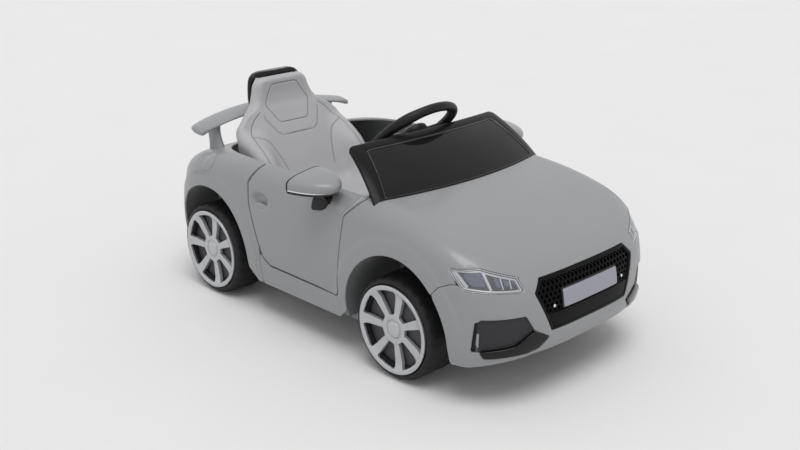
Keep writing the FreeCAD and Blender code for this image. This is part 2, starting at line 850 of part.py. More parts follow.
hinge_x = S.door_front - S.hinge_back
hinge_y = S.half_width - S.hinge_inset
hinge_point = Vector(hinge_x.value, -hinge_y.value, 0)
pin_bottom, pin_top = S.sill_plate + 8, S.door_bottom + 124
door_edge = side_prism(grown(door_outline(), -S.door_gap.value), -FAR, -door_inner, 11)
door_shape = skin_layer(0, S.door_wall.value).common(door_edge).cut(cockpit)
for eye_low in (6, 100):
    eye_start = hinge_point + Vector(0, 0, S.door_bottom.value + eye_low)
    door_shape = door_shape.fuse(Part.makeCylinder(8, 20, eye_start))
pin_bore = S.hinge_radius.value + S.running_gap.value
door_shape = door_shape.cut(Part.makeCylinder(pin_bore, FAR, hinge_point))
shell_pair("door", door_shape)
pair_node("hinge_pins", rod("hinge_pin", S.hinge_radius, "Z", (hinge_x, -hinge_y, pin_bottom),
                            pin_top - pin_bottom))

# Mirrors on the doors: shell, glass and stalk

mirror_ball = doc.addObject("Part::Ellipsoid", "mirror_ball")
bind(mirror_ball, "Radius1", S.mirror_tall)
bind(mirror_ball, "Radius2", S.mirror_deep)
bind(mirror_ball, "Radius3", S.mirror_long)
place(mirror_ball, (S.mirror_x, -S.mirror_y, S.mirror_z))
glass_face = S.mirror_x - S.mirror_deep * 0.5
mirror_cut_y = (-S.mirror_y - S.mirror_long, -S.mirror_y + S.mirror_long)
mirror_cut_z = (S.mirror_z - S.mirror_tall, S.mirror_z + S.mirror_tall)
behind_glass = box("mirror_back", (S.mirror_x - S.mirror_deep, glass_face), mirror_cut_y, mirror_cut_z)
both_sides("mirror_shell", cut("mirror_shell", mirror_ball, behind_glass))
glass_disc = doc.addObject("Part::Ellipsoid", "glass_disc")
bind(glass_disc, "Radius1", S.mirror_tall * 0.78)
bind(glass_disc, "Radius2", S.mirror_deep)
bind(glass_disc, "Radius3", S.mirror_long * 0.78)
place(glass_disc, (glass_face, -S.mirror_y, S.mirror_z))
glass_slab = box("glass_slab", (glass_face - 2.5, glass_face), mirror_cut_y, mirror_cut_z)
mirror_glass = doc.addObject("Part::Common", "mirror_glass")
mirror_glass.Base = glass_disc
mirror_glass.Tool = glass_slab
both_sides("mirror_glass", mirror_glass)
doc.recompute()
stalk_foot, stalk_half = S.mirror_x.value + 2, 14
stalk_points = [
    (stalk_foot - stalk_half, -S.mirror_y.value + 6, S.mirror_z.value),
    (stalk_foot + stalk_half - 4, -S.mirror_y.value + 6, S.mirror_z.value),
    (stalk_foot + stalk_half, -S.half_width.value + 34, S.door_belt.value + 10),
    (stalk_foot - stalk_half, -S.half_width.value + 34, S.door_belt.value + 10),
]
stalk_shape = prism(stalk_points, (0, -22, 0))
stalk_shape = stalk_shape.cut([skin_layer(-gap, S.door_wall.value), NODES["mirror_shell_right"].Shape])
stalk_shape = min(stalk_shape.Solids, key=lambda solid: -solid.BoundBox.ZMax)
shell_pair("mirror_stalk", stalk_shape)

# Windscreen: a curved frame that stands on the bonnet and a tinted pane in it


def screen_point(across, up):
    half = S.screen_half.value
    foot_x = S.screen_base_x.value - S.screen_sweep.value * across ** 2
    foot_y = half * across
    foot = surface_point(Vector(foot_x, foot_y, S.spine_height.value), Vector(0, 0, 1))
    head = Vector(S.screen_top_x.value - S.screen_top_sweep.value * across ** 2,
                  S.screen_top_half.value * across, S.screen_top_z.value - 6 * across ** 2)
    bulge = 24 * up * (1 - up)
    return foot * (1 - up) + head * up + Vector(0.6 * bulge, 0, 0.8 * bulge)


def screen_layer(side_share, low, high, start_depth, end_depth):
    layers = ([], [])
    for row in range(15):
        across = side_share * (row / 7 - 1)
        lines = ([], [])
        for step in range(8):
            up = low + (high - low) * step / 7
            point = screen_point(across, up)
            along = screen_point(across + 0.01, up) - screen_point(across - 0.01, up)
            rise = screen_point(across, up + 0.01) - screen_point(across, up - 0.01)
            normal = along.cross(rise).normalize()
            if normal.z < 0:
                normal = -normal
            for line, depth in zip(lines, (start_depth, end_depth)):
                line.append(point - normal * depth)
        for layer, line in zip(layers, lines):
            layer.append(line)
    return thick_patch(*layers)


band_share = S.screen_band.value / S.screen_half.value
slope_length = (screen_point(0, 1) - screen_point(0, 0)).Length
band_up = S.screen_band.value / slope_length
screen_body = skin_layer(-gap, S.door_wall.value)
frame_shape = screen_layer(1, -0.12, 1, 0, S.screen_wall.value)
window = screen_layer(1 - band_share, band_up * 0.7, 1 - band_up * 0.8, -20, 30)
frame_shape = frame_shape.cut([screen_body, flipped(screen_body), window])
frame_shape = max(frame_shape.Solids, key=lambda solid: solid.Volume)
shell_node("windscreen_frame", frame_shape)
pane_zone = screen_layer(1 - band_share, band_up * 0.7, 1 - band_up * 0.8, 1.5, 1.5 + S.pane_wall.value)
shell_node("windscreen_pane", pane_zone)

# Wheels: black body with the tyre, silver trim with seven spokes

SPOKES = 7
wheel_inner = S.wheel_face - S.tyre_width
trim_seat = S.tyre_width - 8
dish = S.tyre_width - 38
hub_top = S.tyre_width - 30
hub_start = S.kingpin_y + S.kingpin_radius + 10 - wheel_inner
bore = S.axle_radius + S.running_gap


def stand_wheel(body, axle_x):
    """Turns a body made round the upright axis into a right-hand wheel."""
    return place(body, (axle_x, -wheel_inner, S.wheel_radius), FreeCAD.Rotation(Vector(1, 0, 0), 90))


def tyre_body(name, axle_x):
    body = new_body(name)
    radius, width = S.wheel_radius, S.tyre_width
    well = S.rim_radius - 14
    profile = [
        (S.barrel_radius, 0.001), (radius - 7, 0.001), (radius - 1.5, 5), (radius, 14), (radius, width - 16),
        (radius - 2, width - 7), (radius - 8, width - 1), (S.rim_radius + S.seat_gap, width - 1),
        (S.rim_radius + S.seat_gap, trim_seat), (well, trim_seat), (well, dish), (S.hub_radius, dish),
        (S.hub_radius, hub_top), (bore, hub_top), (bore, hub_start), (S.hub_radius, hub_start),
        (S.hub_radius, dish - 6),
        (S.barrel_radius, dish - 6),
    ]
    revolve(body, name + "_turn", sketch_on(body, "XZ_Plane", name + "_profile", profile))
    return stand_wheel(body, axle_x)


def trim_body(name, axle_x):
    body = new_body(name)
    rim, width = S.rim_radius, S.tyre_width
    profile = [
        (0.001, hub_top + 12), (S.hub_radius + 6, hub_top + 12), (rim - 20, trim_seat),
        (rim, trim_seat), (rim, width + 2), (rim - 4, width + 4), (rim - 14, width + 2),
        (rim - 20, width - 3), (S.hub_radius + 12, width - 8), (S.hub_radius + 2, width - 4),
        (0.001, width - 3),
    ]
    revolve(body, name + "_turn", sketch_on(body, "XZ_Plane", name + "_profile", profile))
    low, high = S.hub_radius + 12, rim - 13
    low_half, high_half = 6.5, 24.5
    window = [(low, -low_half), (high, -high_half), (high + 2, 0), (high, high_half), (low, low_half)]
    pocket = pocket_through(body, name + "_window", sketch_on(body, "XY_Plane", name + "_opening", window))
    repeat_round(body, name + "_windows", pocket, SPOKES)
    return stand_wheel(body, axle_x)


for end, axle_x in (("front", S.front_axle_x), ("rear", S.rear_axle_x)):
    both_sides("tyre_" + end, tyre_body("tyre_" + end, axle_x))
    both_sides("wheel_trim_" + end, trim_body("wheel_trim_" + end, axle_x))

# Rear axle with its end heads, motors, gearboxes and battery

axle_end = wheel_inner + hub_top + 6
axle_rod = rod("axle_rod", S.axle_radius, "Y", (S.rear_axle_x, -axle_end, S.wheel_radius), 2 * axle_end)
head_right = rod("axle_head", S.axle_radius + 4, "Y", (S.rear_axle_x, -axle_end, S.wheel_radius), 5.7)
node("rear_axle", fuse("rear_axle", axle_rod, head_right, mirror("axle_head_left", head_right)))


floor_top = S.floor_bottom + S.tub_wall
gearbox_outer = S.rear_box_half - S.tub_wall
gearbox_block = box("gearbox_block", (S.rear_axle_x - 40, S.rear_axle_x + 70), (-gearbox_outer, -S.gearbox_y),
                    (floor_top, floor_top + S.gearbox_height))
gearbox_hole = rod("gearbox_hole", S.axle_radius + 1, "Y", (S.rear_axle_x, -gearbox_outer, S.wheel_radius),
                   gearbox_outer - S.gearbox_y)
pair_node("gearboxes", cut("gearbox", gearbox_block, gearbox_hole))
motor_y = S.gearbox_y - S.motor_length
pair_node("motors", rod("motor", S.motor_radius, "Y", (S.rear_axle_x + 45, -S.gearbox_y, S.wheel_radius),
                        S.gearbox_y - motor_y))
battery_x = S.tub_rear - 8
node("battery", box("battery", (battery_x - S.battery_width, battery_x),
                    (-S.battery_length / 2, S.battery_length / 2), (floor_top, floor_top + S.battery_height)))

# Front knuckles, tie rod and steering column

pivot_x, pivot_y = S.front_axle_x, S.kingpin_y
arm_tip = S.front_axle_x + S.steer_arm
arm_low, arm_high = S.tie_height - 15, S.tie_height - 8
bracket_low, bracket_high = S.wheel_radius - 32, S.wheel_radius + 32
knuckle_parts = [
    rod("kingpin", S.kingpin_radius, "Z", (pivot_x, -pivot_y, bracket_low - 8),
        bracket_high - bracket_low + 16),
    rod("kingpin_boss", S.kingpin_radius + 5, "Z", (pivot_x, -pivot_y, bracket_low + 1),
        bracket_high - bracket_low - 2),
    rod("stub_axle", S.axle_radius, "Y", (pivot_x, -axle_end, S.wheel_radius), axle_end - pivot_y),
    rod("stub_head", S.axle_radius + 4, "Y", (pivot_x, -axle_end, S.wheel_radius), 5.7),
    box("steer_bar", (pivot_x, arm_tip + 8), (-pivot_y - 6, -pivot_y + 6), (arm_low, arm_high)),
    box("steer_foot", (arm_tip - 8, arm_tip + 8), (-pivot_y - 6, -S.steer_pin_y + 8), (arm_low, arm_high)),
    rod("steer_pin", 3, "Z", (arm_tip, -S.steer_pin_y, arm_low), S.tie_height + 6 - arm_low),
]
both_sides("knuckle", fuse("knuckle", *knuckle_parts))
tie_end = S.steer_pin_y + 12
eye_low, eye_high = arm_high + S.seat_gap, S.tie_height + 3
tie_eye = box("tie_eye", (arm_tip - 19, arm_tip + 11), (-tie_end, -tie_end + 26), (eye_low, eye_high))
tie_slot = box("tie_slot", (arm_tip - 15, arm_tip + 8), (-S.steer_pin_y - 4.7, -S.steer_pin_y + 4.7),
               (eye_low - 1, eye_high + 1))
tie_bar = rod("tie_bar", 5, "Y", (arm_tip, -tie_end + 20, S.tie_height), 2 * (tie_end - 20))
eye_right = cut("tie_eye_right", tie_eye, tie_slot)
prong = box("tie_prong", (arm_tip - 10, arm_tip + 17), (-11.5, -5.5), (S.tie_height - 2, S.tie_height + 24))
node("tie_rod", fuse("tie_rod", tie_bar, eye_right, mirror("tie_eye_left", eye_right), prong,
                     mirror("tie_prong_left", prong)))

tilt = math.radians(S.column_tilt.value)
column_axis = Vector(math.cos(tilt), 0, -math.sin(tilt))
column_up = Vector(math.sin(tilt), 0, math.cos(tilt))
column_turn = FreeCAD.Rotation(column_up, column_axis.cross(column_up), column_axis, "ZXY")
column = Frame((S.wheel_hub_x, 0, S.wheel_hub_z), column_turn)
column_parts = [
    rod("column_rod", S.column_radius, "Z", (0, 0, 4), S.column_length + 4, column),
    box("crank_plate", (-8, S.crank_arm + 7), (-7, 7), (S.column_length - 4, S.column_length + 4), column),
    rod("crank_pin", 4, "Z", (S.crank_arm, 0, S.column_length), 30, column),
]
node("steering_column", fuse("steering_column", *column_parts))
ring = doc.addObject("Part::Torus", "steering_ring")
bind(ring, "Radius1", S.ring_radius)
bind(ring, "Radius2", S.ring_tube)
place(ring, column.point((0, 0, 0)), column.rotation)
spoke_half, hub_half = 12, 30
ring_parts = [
    ring,
    rod("steering_hub", hub_half, "Z", (0, 0, -4), 26, column),
    box("spoke_side", (-spoke_half, spoke_half), (-S.ring_radius, S.ring_radius), (0, 10), column),
    box("spoke_low", (-S.ring_radius, 0), (-spoke_half, spoke_half), (0, 10), column),
]
pad_well = rod("pad_well", 20, "Z", (0, 0, -5), 9, column)
column_hole = rod("column_hole", S.column_radius, "Z", (0, 0, 4), 30, column)
node("steering_wheel", cut("steering_wheel", fuse("steering_spider", *ring_parts), pad_well, column_hole))
node("horn_pad", rod("horn_pad", 19.5, "Z", (0, 0, -8), 8, column))

# Chassis tub with brackets for the kingpins, hinges, column and pedal

sill_lean = (S.wide_height - S.sill_plate) / S.lower_span
sill_edge = S.half_width - S.lower_tuck * sill_lean * sill_lean - S.wall - S.seat_gap
tub_wall = S.tub_wall
column_block_x = (S.front_axle_x - 13, S.front_axle_x + 12)
pedal_axis_z = floor_top + 10
outer_parts = [
    box("tub_floor", (S.tub_rear, S.tub_front), (-S.tub_half, S.tub_half), (S.floor_bottom, S.tub_height)),
    box("tub_front_box", (S.tub_front - 20, S.front_box_end), (-S.front_box_half, S.front_box_half),
        (S.floor_bottom, S.front_box_height)),
    box("tub_rear_box", (S.rear_box_end, S.tub_rear + tub_wall), (-S.rear_box_half, S.rear_box_half),
        (S.floor_bottom, S.rear_box_height)),
]
hollows = [
    box("floor_hollow", (S.tub_rear + tub_wall, S.tub_front - tub_wall),
        (tub_wall - S.tub_half, S.tub_half - tub_wall), (floor_top, S.tub_height + 1)),
    box("front_hollow", (S.tub_front - 30, S.front_box_end - tub_wall),
        (tub_wall - S.front_box_half, S.front_box_half - tub_wall), (floor_top, S.front_box_height + 1)),
    box("rear_hollow", (S.rear_box_end + tub_wall, S.tub_rear),
        (tub_wall - S.rear_box_half, S.rear_box_half - tub_wall), (floor_top, S.rear_box_height + 1)),
]
tub_shell = cut("tub_shell", fuse("tub_outer", *outer_parts), *hollows)
right_brackets = [
    box("sill_shelf", (S.tub_rear + 24, S.tub_front - 22), (-sill_edge, 1 - S.tub_half),
        (S.sill_plate, S.sill_plate + 6)),
    box("hinge_lug", (hinge_x - 9, hinge_x + 9), (-hinge_y - 3.4, 1 - S.tub_half),
        (S.sill_plate + 6, S.door_bottom - 6)),
    box("kingpin_top", (pivot_x - 14, pivot_x + 14), (-pivot_y - 12, 1 - S.front_box_half),
        (bracket_high, bracket_high + 8)),
    box("kingpin_base", (pivot_x - 14, pivot_x + 14), (-pivot_y - 12, 1 - S.front_box_half),
        (bracket_low - 8, bracket_low)),
]
ears = []
for ear, offset in (("ear_near", -1), ("ear_far", 1)):
    ear_mid = S.pedal_y + offset * (S.pedal_half + 4)
    ears.append(box("pedal_" + ear, (S.pedal_x - 8, S.pedal_x + 8), (ear_mid - 2.5, ear_mid + 2.5),
                    (floor_top - 1, pedal_axis_z + 8)))
column_block = box("column_block", column_block_x, (-16, 16), (floor_top - 1, S.front_box_height - 12))
left_brackets = [mirror(item.Name + "_left", item) for item in right_brackets]
tub_full = fuse("tub_full", tub_shell, column_block, *ears, *right_brackets, *left_brackets)
right_holes = [
    rod("kingpin_hole", S.kingpin_radius + S.running_gap, "Z", (pivot_x, -pivot_y, S.floor_bottom), 140),
    rod("hinge_hole", S.hinge_radius, "Z", (hinge_x, -hinge_y, pin_bottom), 60),
    box("tie_window", (arm_tip - 20, arm_tip + 24), (-S.front_box_half - 1, 2 * tub_wall - S.front_box_half),
        (S.tie_height - 12, S.tie_height + 14)),
]
left_holes = [mirror(item.Name + "_left", item) for item in right_holes]
axle_hole = rod("axle_hole", S.axle_radius, "Y", (S.rear_axle_x, -S.rear_box_half - 1, S.wheel_radius),
                2 * S.rear_box_half + 2)
pedal_hole = rod("pedal_hole", S.pedal_pin + S.running_gap, "Y",
                 (S.pedal_x, S.pedal_y - S.pedal_half - 10, pedal_axis_z), 2 * S.pedal_half + 20)
column_bore = rod("column_bore", S.column_radius + S.running_gap, "Z", (0, 0, 200), 200, column)
screw_places = []
for screw_x in (S.tub_rear + 30, S.tub_front - 30):
    for screw_y in (-S.tub_half + 14, S.tub_half - 14):
        screw_places.append((screw_x, screw_y))
screw_sink = 0.5
screw_wells = []
for screw_x, screw_y in screw_places:
    name = "screw_well_%d" % len(screw_wells)
    screw_wells.append(rod(name, S.screw_radius + S.seat_gap, "Z", (screw_x, screw_y, S.floor_bottom - 1),
                           S.screw_height + screw_sink + 1))
tub_holes = right_holes + left_holes + screw_wells + [axle_hole, pedal_hole, column_bore]
node("chassis_tub", cut("chassis_tub", tub_full, *tub_holes))

# Accelerator pedal on its own trunnions

pedal_turn = FreeCAD.Rotation(Vector(0, 1, 0), -S.pedal_tilt.value)
pedal_frame = Frame((S.pedal_x, S.pedal_y, pedal_axis_z), pedal_turn)
pedal_parts = [
    box("pedal_plate", (0, S.pedal_length), (-S.pedal_half, S.pedal_half), (-1, 5), pedal_frame),
    rod("pedal_barrel", 5.5, "Y", (0, -S.pedal_half, 0), 2 * S.pedal_half, pedal_frame),
    rod("pedal_trunnion", S.pedal_pin, "Y", (0, -S.pedal_half - 6, 0), 2 * S.pedal_half + 12, pedal_frame),
]
node("accelerator_pedal", fuse("accelerator_pedal", *pedal_parts))

# Arch liners


def liner(axle_x, inner_y):
    clear = S.arch_radius.value + 1.5
    shell = arch_space(axle_x, clear + S.liner_wall.value, inner_y, S.half_width.value)
    shell = shell.cut(arch_space(axle_x, clear, inner_y - 1, S.half_width.value + 1))
    under = Part.makeBox(FAR, FAR, S.sill_plate.value, Vector(-FAR / 2, -FAR, 0))
    return shell.cut([under, skin_layer(-70, wall + gap)])


right_liners = [liner(S.front_axle_x, S.front_box_half.value), liner(S.rear_axle_x, S.seat_half.value + 5)]
liner_solids = []
for shape in right_liners:
    solid = max(shape.Solids, key=lambda item: item.Volume)
    liner_solids += [solid, flipped(solid)]
shell_node("arch_liners", Part.makeCompound(liner_solids))

# Dashboard with its button and rocker

dash = new_body("dashboard_block")
face, low = S.dash_face, S.dash_low
dash_profile = [
    (face, low), (face + 34, low - 18), (face + 96, low - 10), (face + 104, low + 46), (face + 84, low + 70),
    (face + 40, low + 80), (face + 12, low + 74), (face, low + 62),
]
pad(dash, "dash_pad", sketch_on(dash, "XZ_Plane", "dash_profile", dash_profile), 2 * S.dash_half, True)
button_y, rocker_y, control_z = 96, -96, S.dash_low + 34
button_well = rod("button_well", S.button_radius + 0.4, "X", (face - 1, button_y, control_z), 14)
rocker_well = box("rocker_well", (face - 1, face + 14), (rocker_y - 9.6, rocker_y + 9.6),
                  (control_z - 16, control_z + 16))
dash_bore = rod("dash_bore", S.column_radius + 1, "Z", (0, 0, 20), 260, column)
node("dashboard", cut("dashboard", dash, button_well, rocker_well, dash_bore))
node("power_button", rod("power_button", S.button_radius, "X", (face - 5, button_y, control_z), 13))
rocker_cap = box("rocker_cap", (face - 4, face + 8), (rocker_y - 9, rocker_y + 9),
                 (control_z - 13, control_z + 13))
rocker_pivot = rod("rocker_pivot", 4, "Y", (face + 8, rocker_y - 9, control_z), 18)
node("direction_rocker", fuse("direction_rocker", rocker_cap, rocker_pivot))

# Seat moulding and its back shell: a side profile met by a front outline


def seat_profile():
    front, back = S.seat_front_x.value, S.seat_back_x.value
    low, top, shoulder = S.rear_box_height.value, S.seat_top.value, S.shoulder_z.value
    return [
        (front, low), (front - 2, low + 34), (front - 50, low + 38), (front - 112, low + 42),
        (back + 116, shoulder - 62), (back + 92, shoulder - 38), (back + 30, shoulder - 4),
        (back + 6, shoulder + 48), (back, top), (back - 24, top), (back - 15, shoulder + 50),
        (back + 20, shoulder - 46), (back + 44, low),
    ]


def seat_outline():
    half, low, top = S.seat_half.value, S.rear_box_height.value, S.seat_top.value
    shoulder, head = S.shoulder_z.value, S.head_half.value
    right = [(half, low), (half + 7, shoulder - 56), (half + 2, shoulder), (head + 50, shoulder + 26),
             (head + 25, shoulder + 44), (head + 8, top - 15), (head - 8, top + 1)]
    return right + [(-y, z) for y, z in reversed(right)]


def front_prism(outline):
    return prism([(-FAR / 2, y, z) for y, z in outline], (FAR, 0, 0))


def channel_space():
    front, back, low = S.seat_front_x.value, S.seat_back_x.value, S.rear_box_height.value
    shoulder, half, high = S.shoulder_z.value, S.channel_half.value, FAR / 2
    profile = [(front + 10, low + 24), (front - 148, low + 12), (back + 52, shoulder - 22),
               (back + 7, shoulder + 46), (back + 7, high), (front + 10, high)]
    return side_prism(profile, -half, half)


def shell_outline():
    """The back shell seen from the front: a little wider than the headrest."""
    top, shoulder, head = S.seat_top.value, S.shoulder_z.value, S.head_half.value
    right = [(head + 24, shoulder - 40), (head + 22, shoulder + 40), (head + 13, top - 12), (head - 4, top + 9)]
    return right + [(-y, z) for y, z in reversed(right)]


def shell_profile():
    back, top, shoulder = S.seat_back_x.value, S.seat_top.value, S.shoulder_z.value
    thick = S.shell_wall.value
    inner = [(back - 26, top + 8), (back - 15.4, shoulder + 50), (back + 13.6, shoulder - 30)]
    return inner + [(x - thick, z) for x, z in reversed(inner)]


seat_solid = side_prism(seat_profile(), -FAR / 2, FAR / 2).common(front_prism(seat_outline()))
shell_node("seat", seat_solid.cut(channel_space()))
back_solid = side_prism(shell_profile(), -FAR / 2, FAR / 2)
shell_node("seat_back_shell", back_solid.common(front_prism(shell_outline())))

# Rear spoiler: blade and two stands


def blade_section(across):
    x = S.spoiler_x.value + S.spoiler_sweep.value * across ** 2
    z = S.spoiler_z.value - S.spoiler_droop.value * across ** 2
    chord = S.spoiler_chord.value * (1 - 0.12 * across ** 2)
    tilt = S.spoiler_tilt.value * chord
    shape = [(0.5, 0), (0.3, 5), (-0.1, 7), (-0.5, 4), (-0.48, 1), (-0.1, -3), (0.3, -4)]
    y = S.spoiler_half.value * across
    points = [Vector(x + share * chord, y, z + rise - share * tilt) for share, rise in shape]
    return Part.makePolygon(points + points[:1])


blade = Part.makeLoft([blade_section(step / 4 - 1) for step in range(9)], True)
shell_node("spoiler_blade", blade)
stand_x = S.spoiler_x.value + S.spoiler_sweep.value * (S.stand_y.value / S.spoiler_half.value) ** 2
stand_outline = [(stand_x - 8, S.door_belt.value - 40), (stand_x + 36, S.door_belt.value - 40),
                 (stand_x + 16, S.spoiler_z.value), (stand_x - 18, S.spoiler_z.value)]
stand_wide = 14
stand = side_prism(stand_outline, -S.stand_y.value - stand_wide / 2, -S.stand_y.value + stand_wide / 2)
stand = stand.cut([skin_layer(-gap, 60), blade])
stand = max(stand.Solids, key=lambda solid: solid.BoundBox.ZLength)
shell_node("spoiler_stands", Part.makeCompound([stand, flipped(stand)]))

# Fuel flap, charging socket and the screws under the floor

flap_point = surface_point(Vector(S.flap_x.value, 0, S.flap_z.value), Vector(0, -1, 0))
flap_normal = surface_normal(flap_point)
flap_radius = S.flap_radius.value
flap_foot = flap_point - flap_normal * flap_radius
flap_zone = Part.makeCylinder(flap_radius, 2 * flap_radius, flap_foot, flap_normal)
shell_node("fuel_flap", skin_layer(-gap - S.flap_wall.value, -gap).common(flap_zone))
socket_x, socket_z = S.tub_rear + tub_wall, S.rear_box_height - 34
socket_flange = rod("socket_flange", 14, "X", (socket_x, -70, socket_z), 4)
socket_pit = rod("socket_pit", 8, "X", (socket_x + 1, -70, socket_z), 4)
node("charging_socket", cut("charging_socket", socket_flange, socket_pit))
screw_heads = []
for screw_x, screw_y in screw_places:
    name = "screw_%d" % len(screw_heads)
    screw_heads.append(rod(name, S.screw_radius, "Z", (screw_x, screw_y, S.floor_bottom + screw_sink),
                           S.screw_height))
screws = doc.addObject("Part::Compound", "screws_group")
screws.Links = screw_heads
node("floor_screws", screws)

# Every piece is checked, then written
doc.recompute()
problems = []
for item in doc.Objects:
    if "Invalid" in item.State or "Error" in item.State:
        problems.append((item.Name, item.State))
for name, item in NODES.items():
    shape = item.Shape
    if shape.isNull() or not shape.isValid() or not shape.Solids:
        problems.append((name, "shape"))
if problems:
    raise RuntimeError("these pieces failed: %s" % problems)
os.makedirs("parts", exist_ok=True)
for name, item in NODES.items():
    item.Shape.exportStep("parts/%s.step" % name)
print(len(NODES), "pieces written")
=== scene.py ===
import math
from functools import partial

import bpy
import numpy as np
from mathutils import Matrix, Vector


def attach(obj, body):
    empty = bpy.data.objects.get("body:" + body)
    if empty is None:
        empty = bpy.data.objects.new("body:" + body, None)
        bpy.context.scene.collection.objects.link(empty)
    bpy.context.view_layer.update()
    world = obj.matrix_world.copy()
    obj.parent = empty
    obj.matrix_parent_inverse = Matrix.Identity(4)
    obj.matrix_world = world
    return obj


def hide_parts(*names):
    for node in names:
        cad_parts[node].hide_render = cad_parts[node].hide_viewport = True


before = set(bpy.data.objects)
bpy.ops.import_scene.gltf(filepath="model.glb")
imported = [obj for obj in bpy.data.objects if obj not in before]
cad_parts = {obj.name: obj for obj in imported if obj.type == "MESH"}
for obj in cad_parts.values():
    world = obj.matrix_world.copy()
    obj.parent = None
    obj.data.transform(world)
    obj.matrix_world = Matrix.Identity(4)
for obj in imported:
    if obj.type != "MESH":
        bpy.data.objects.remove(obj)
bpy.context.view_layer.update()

scene = bpy.context.scene
MM = 0.001
SIDES = (("right", -1), ("left", 1))
ROOT_HALF = math.sqrt(0.5)


# Colour and materials

def linear(level):
    """A colour channel written as a display value from 0 to 255, as linear light."""
    share = level / 255
    if share <= 0.04045:
        return share / 12.92
    return ((share + 0.055) / 1.055) ** 2.4


def colour(red, green, blue):
    return (linear(red), linear(green), linear(blue), 1.0)


def shade(tone, share):
    return tuple(channel * share for channel in tone[:3]) + (1.0,)


def feed(tree, item, inputs):
    """Links sockets to a node's inputs, and sets its other inputs to values."""
    for key, value in inputs.items():
        if isinstance(value, bpy.types.NodeSocket):
            tree.links.new(value, item.inputs[key])
        else:
            item.inputs[key].default_value = value


def add_node(tree, kind, inputs, **settings):
    item = tree.nodes.new(kind)
    for key, value in settings.items():
        setattr(item, key, value)
    feed(tree, item, inputs)
    return item


class Recipe:
    """A node material with helpers for noise, mixing, gloss and bump."""

    def __init__(self, name):
        self.material = bpy.data.materials.new(name)
        self.material.use_nodes = True
        self.tree = self.material.node_tree
        self.shader = self.tree.nodes["Principled BSDF"]
        self.place = self.node("ShaderNodeTexCoord", {}).outputs

    def node(self, kind, inputs, **settings):
        return add_node(self.tree, kind, inputs, **settings)

    def noise(self, scale, detail=3.0):
        inputs = {"Vector": self.place["Object"], "Scale": scale, "Detail": detail}
        return self.node("ShaderNodeTexNoise", inputs).outputs["Fac"]

    def mix(self, factor, first, second):
        return self.node("ShaderNodeMix", {0: factor, 6: first, 7: second}, data_type="RGBA").outputs[2]

    def between(self, factor, low, high, full_at=1.0):
        inputs = {"Value": factor, "From Max": full_at, "To Min": low, "To Max": high}
        return self.node("ShaderNodeMapRange", inputs).outputs["Result"]

    def set(self, **values):
        """Sets or links the shader's inputs, with underscores for the spaces in their names."""
        feed(self.tree, self.shader, {key.replace("_", " "): value for key, value in values.items()})

    def paint(self, factor, first, second):
        self.set(Base_Color=self.mix(factor, first, second))

    def gloss(self, factor, low, high):
        self.set(Roughness=self.between(factor, low, high))

    def bump(self, height, distance, strength=0.5):
        inputs = {"Height": height, "Distance": distance, "Strength": strength}
        self.set(Normal=self.node("ShaderNodeBump", inputs).outputs["Normal"])


MOTTLE_SCALE, GLOSS_SCALE, GLOSS_SPREAD = 9, 60, 0.06


def moulded(name, tone, rough, grain=900, relief=0.00006, spread=0.05, coat=0.0, shine=0.5):
    """Moulded plastic: faint mottling, a fine grain and uneven gloss."""
    recipe = Recipe(name)
    recipe.paint(recipe.noise(MOTTLE_SCALE), shade(tone, 1 - spread), shade(tone, 1 + spread))
    recipe.gloss(recipe.noise(GLOSS_SCALE), rough - GLOSS_SPREAD, rough + GLOSS_SPREAD)
    recipe.bump(recipe.noise(grain, 2), relief)
    recipe.set(Coat_Weight=coat, Coat_Roughness=0.12, Specular_IOR_Level=shine)
    return recipe.material


def seat_plastic():
    """Pale grained plastic whose engraved lines are painted darker, as painted shade in the grooves."""
    recipe = Recipe("seat_grain")
    tone = colour(179, 179, 181)
    mottled = recipe.mix(recipe.noise(14), shade(tone, 0.95), shade(tone, 1.05))
    # The seam attribute marks the engraved grooves, which get painted shade down to a third of the tone.
    seam = recipe.node("ShaderNodeAttribute", {}, attribute_name="seam").outputs["Fac"]
    recipe.paint(seam, mottled, shade(tone, 0.3))
    recipe.gloss(recipe.noise(80), 0.48, 0.62)
    recipe.bump(recipe.noise(1400, 2), 0.0001)
    return recipe.material


def lacquered_silver(name, tone, rough):
    """Silver lacquer with fine flakes."""
    recipe = Recipe(name)
    flakes = recipe.noise(2600, 1)
    recipe.paint(flakes, shade(tone, 0.9), shade(tone, 1.08))
    recipe.gloss(recipe.noise(45), rough - 0.05, rough + 0.06)
    recipe.bump(flakes, 0.00002)
    recipe.set(Metallic=0.55, Coat_Weight=0.25, Coat_Roughness=0.1)
    return recipe.material


def bright_metal(name, tone, rough):
    """Bright or plated metal with fine scratches."""
    recipe = Recipe(name)
    scratch = recipe.noise(420, 6)
    recipe.paint(scratch, shade(tone, 0.92), shade(tone, 1.04))
    recipe.gloss(scratch, rough * 0.7, rough * 1.4)
    recipe.bump(scratch, 0.00003, 0.2)
    recipe.set(Metallic=1.0)
    return recipe.material


def clear_plastic(name, tone, rough, alpha, coat=0.3, shine=0.5):
    """Clear or tinted plastic with slightly uneven gloss."""
    recipe = Recipe(name)
    recipe.paint(recipe.noise(12), shade(tone, 0.92), shade(tone, 1.08))
    recipe.gloss(recipe.noise(70), rough * 0.6, rough * 1.4)
    recipe.set(Alpha=alpha, IOR=1.5, Coat_Weight=coat, Coat_Roughness=0.04, Specular_IOR_Level=shine)
    return recipe.material


def tyre_plastic():
    """Black tyre moulding, dull and a little dusty."""
    recipe = Recipe("tyre_moulding")
    dust = recipe.noise(30, 6)
    recipe.paint(dust, colour(23, 23, 25), colour(35, 35, 37))
    recipe.gloss(dust, 0.45, 0.7)
    recipe.bump(recipe.noise(700, 3), 0.0002)
    recipe.set(Specular_IOR_Level=0.3)
    return recipe.material


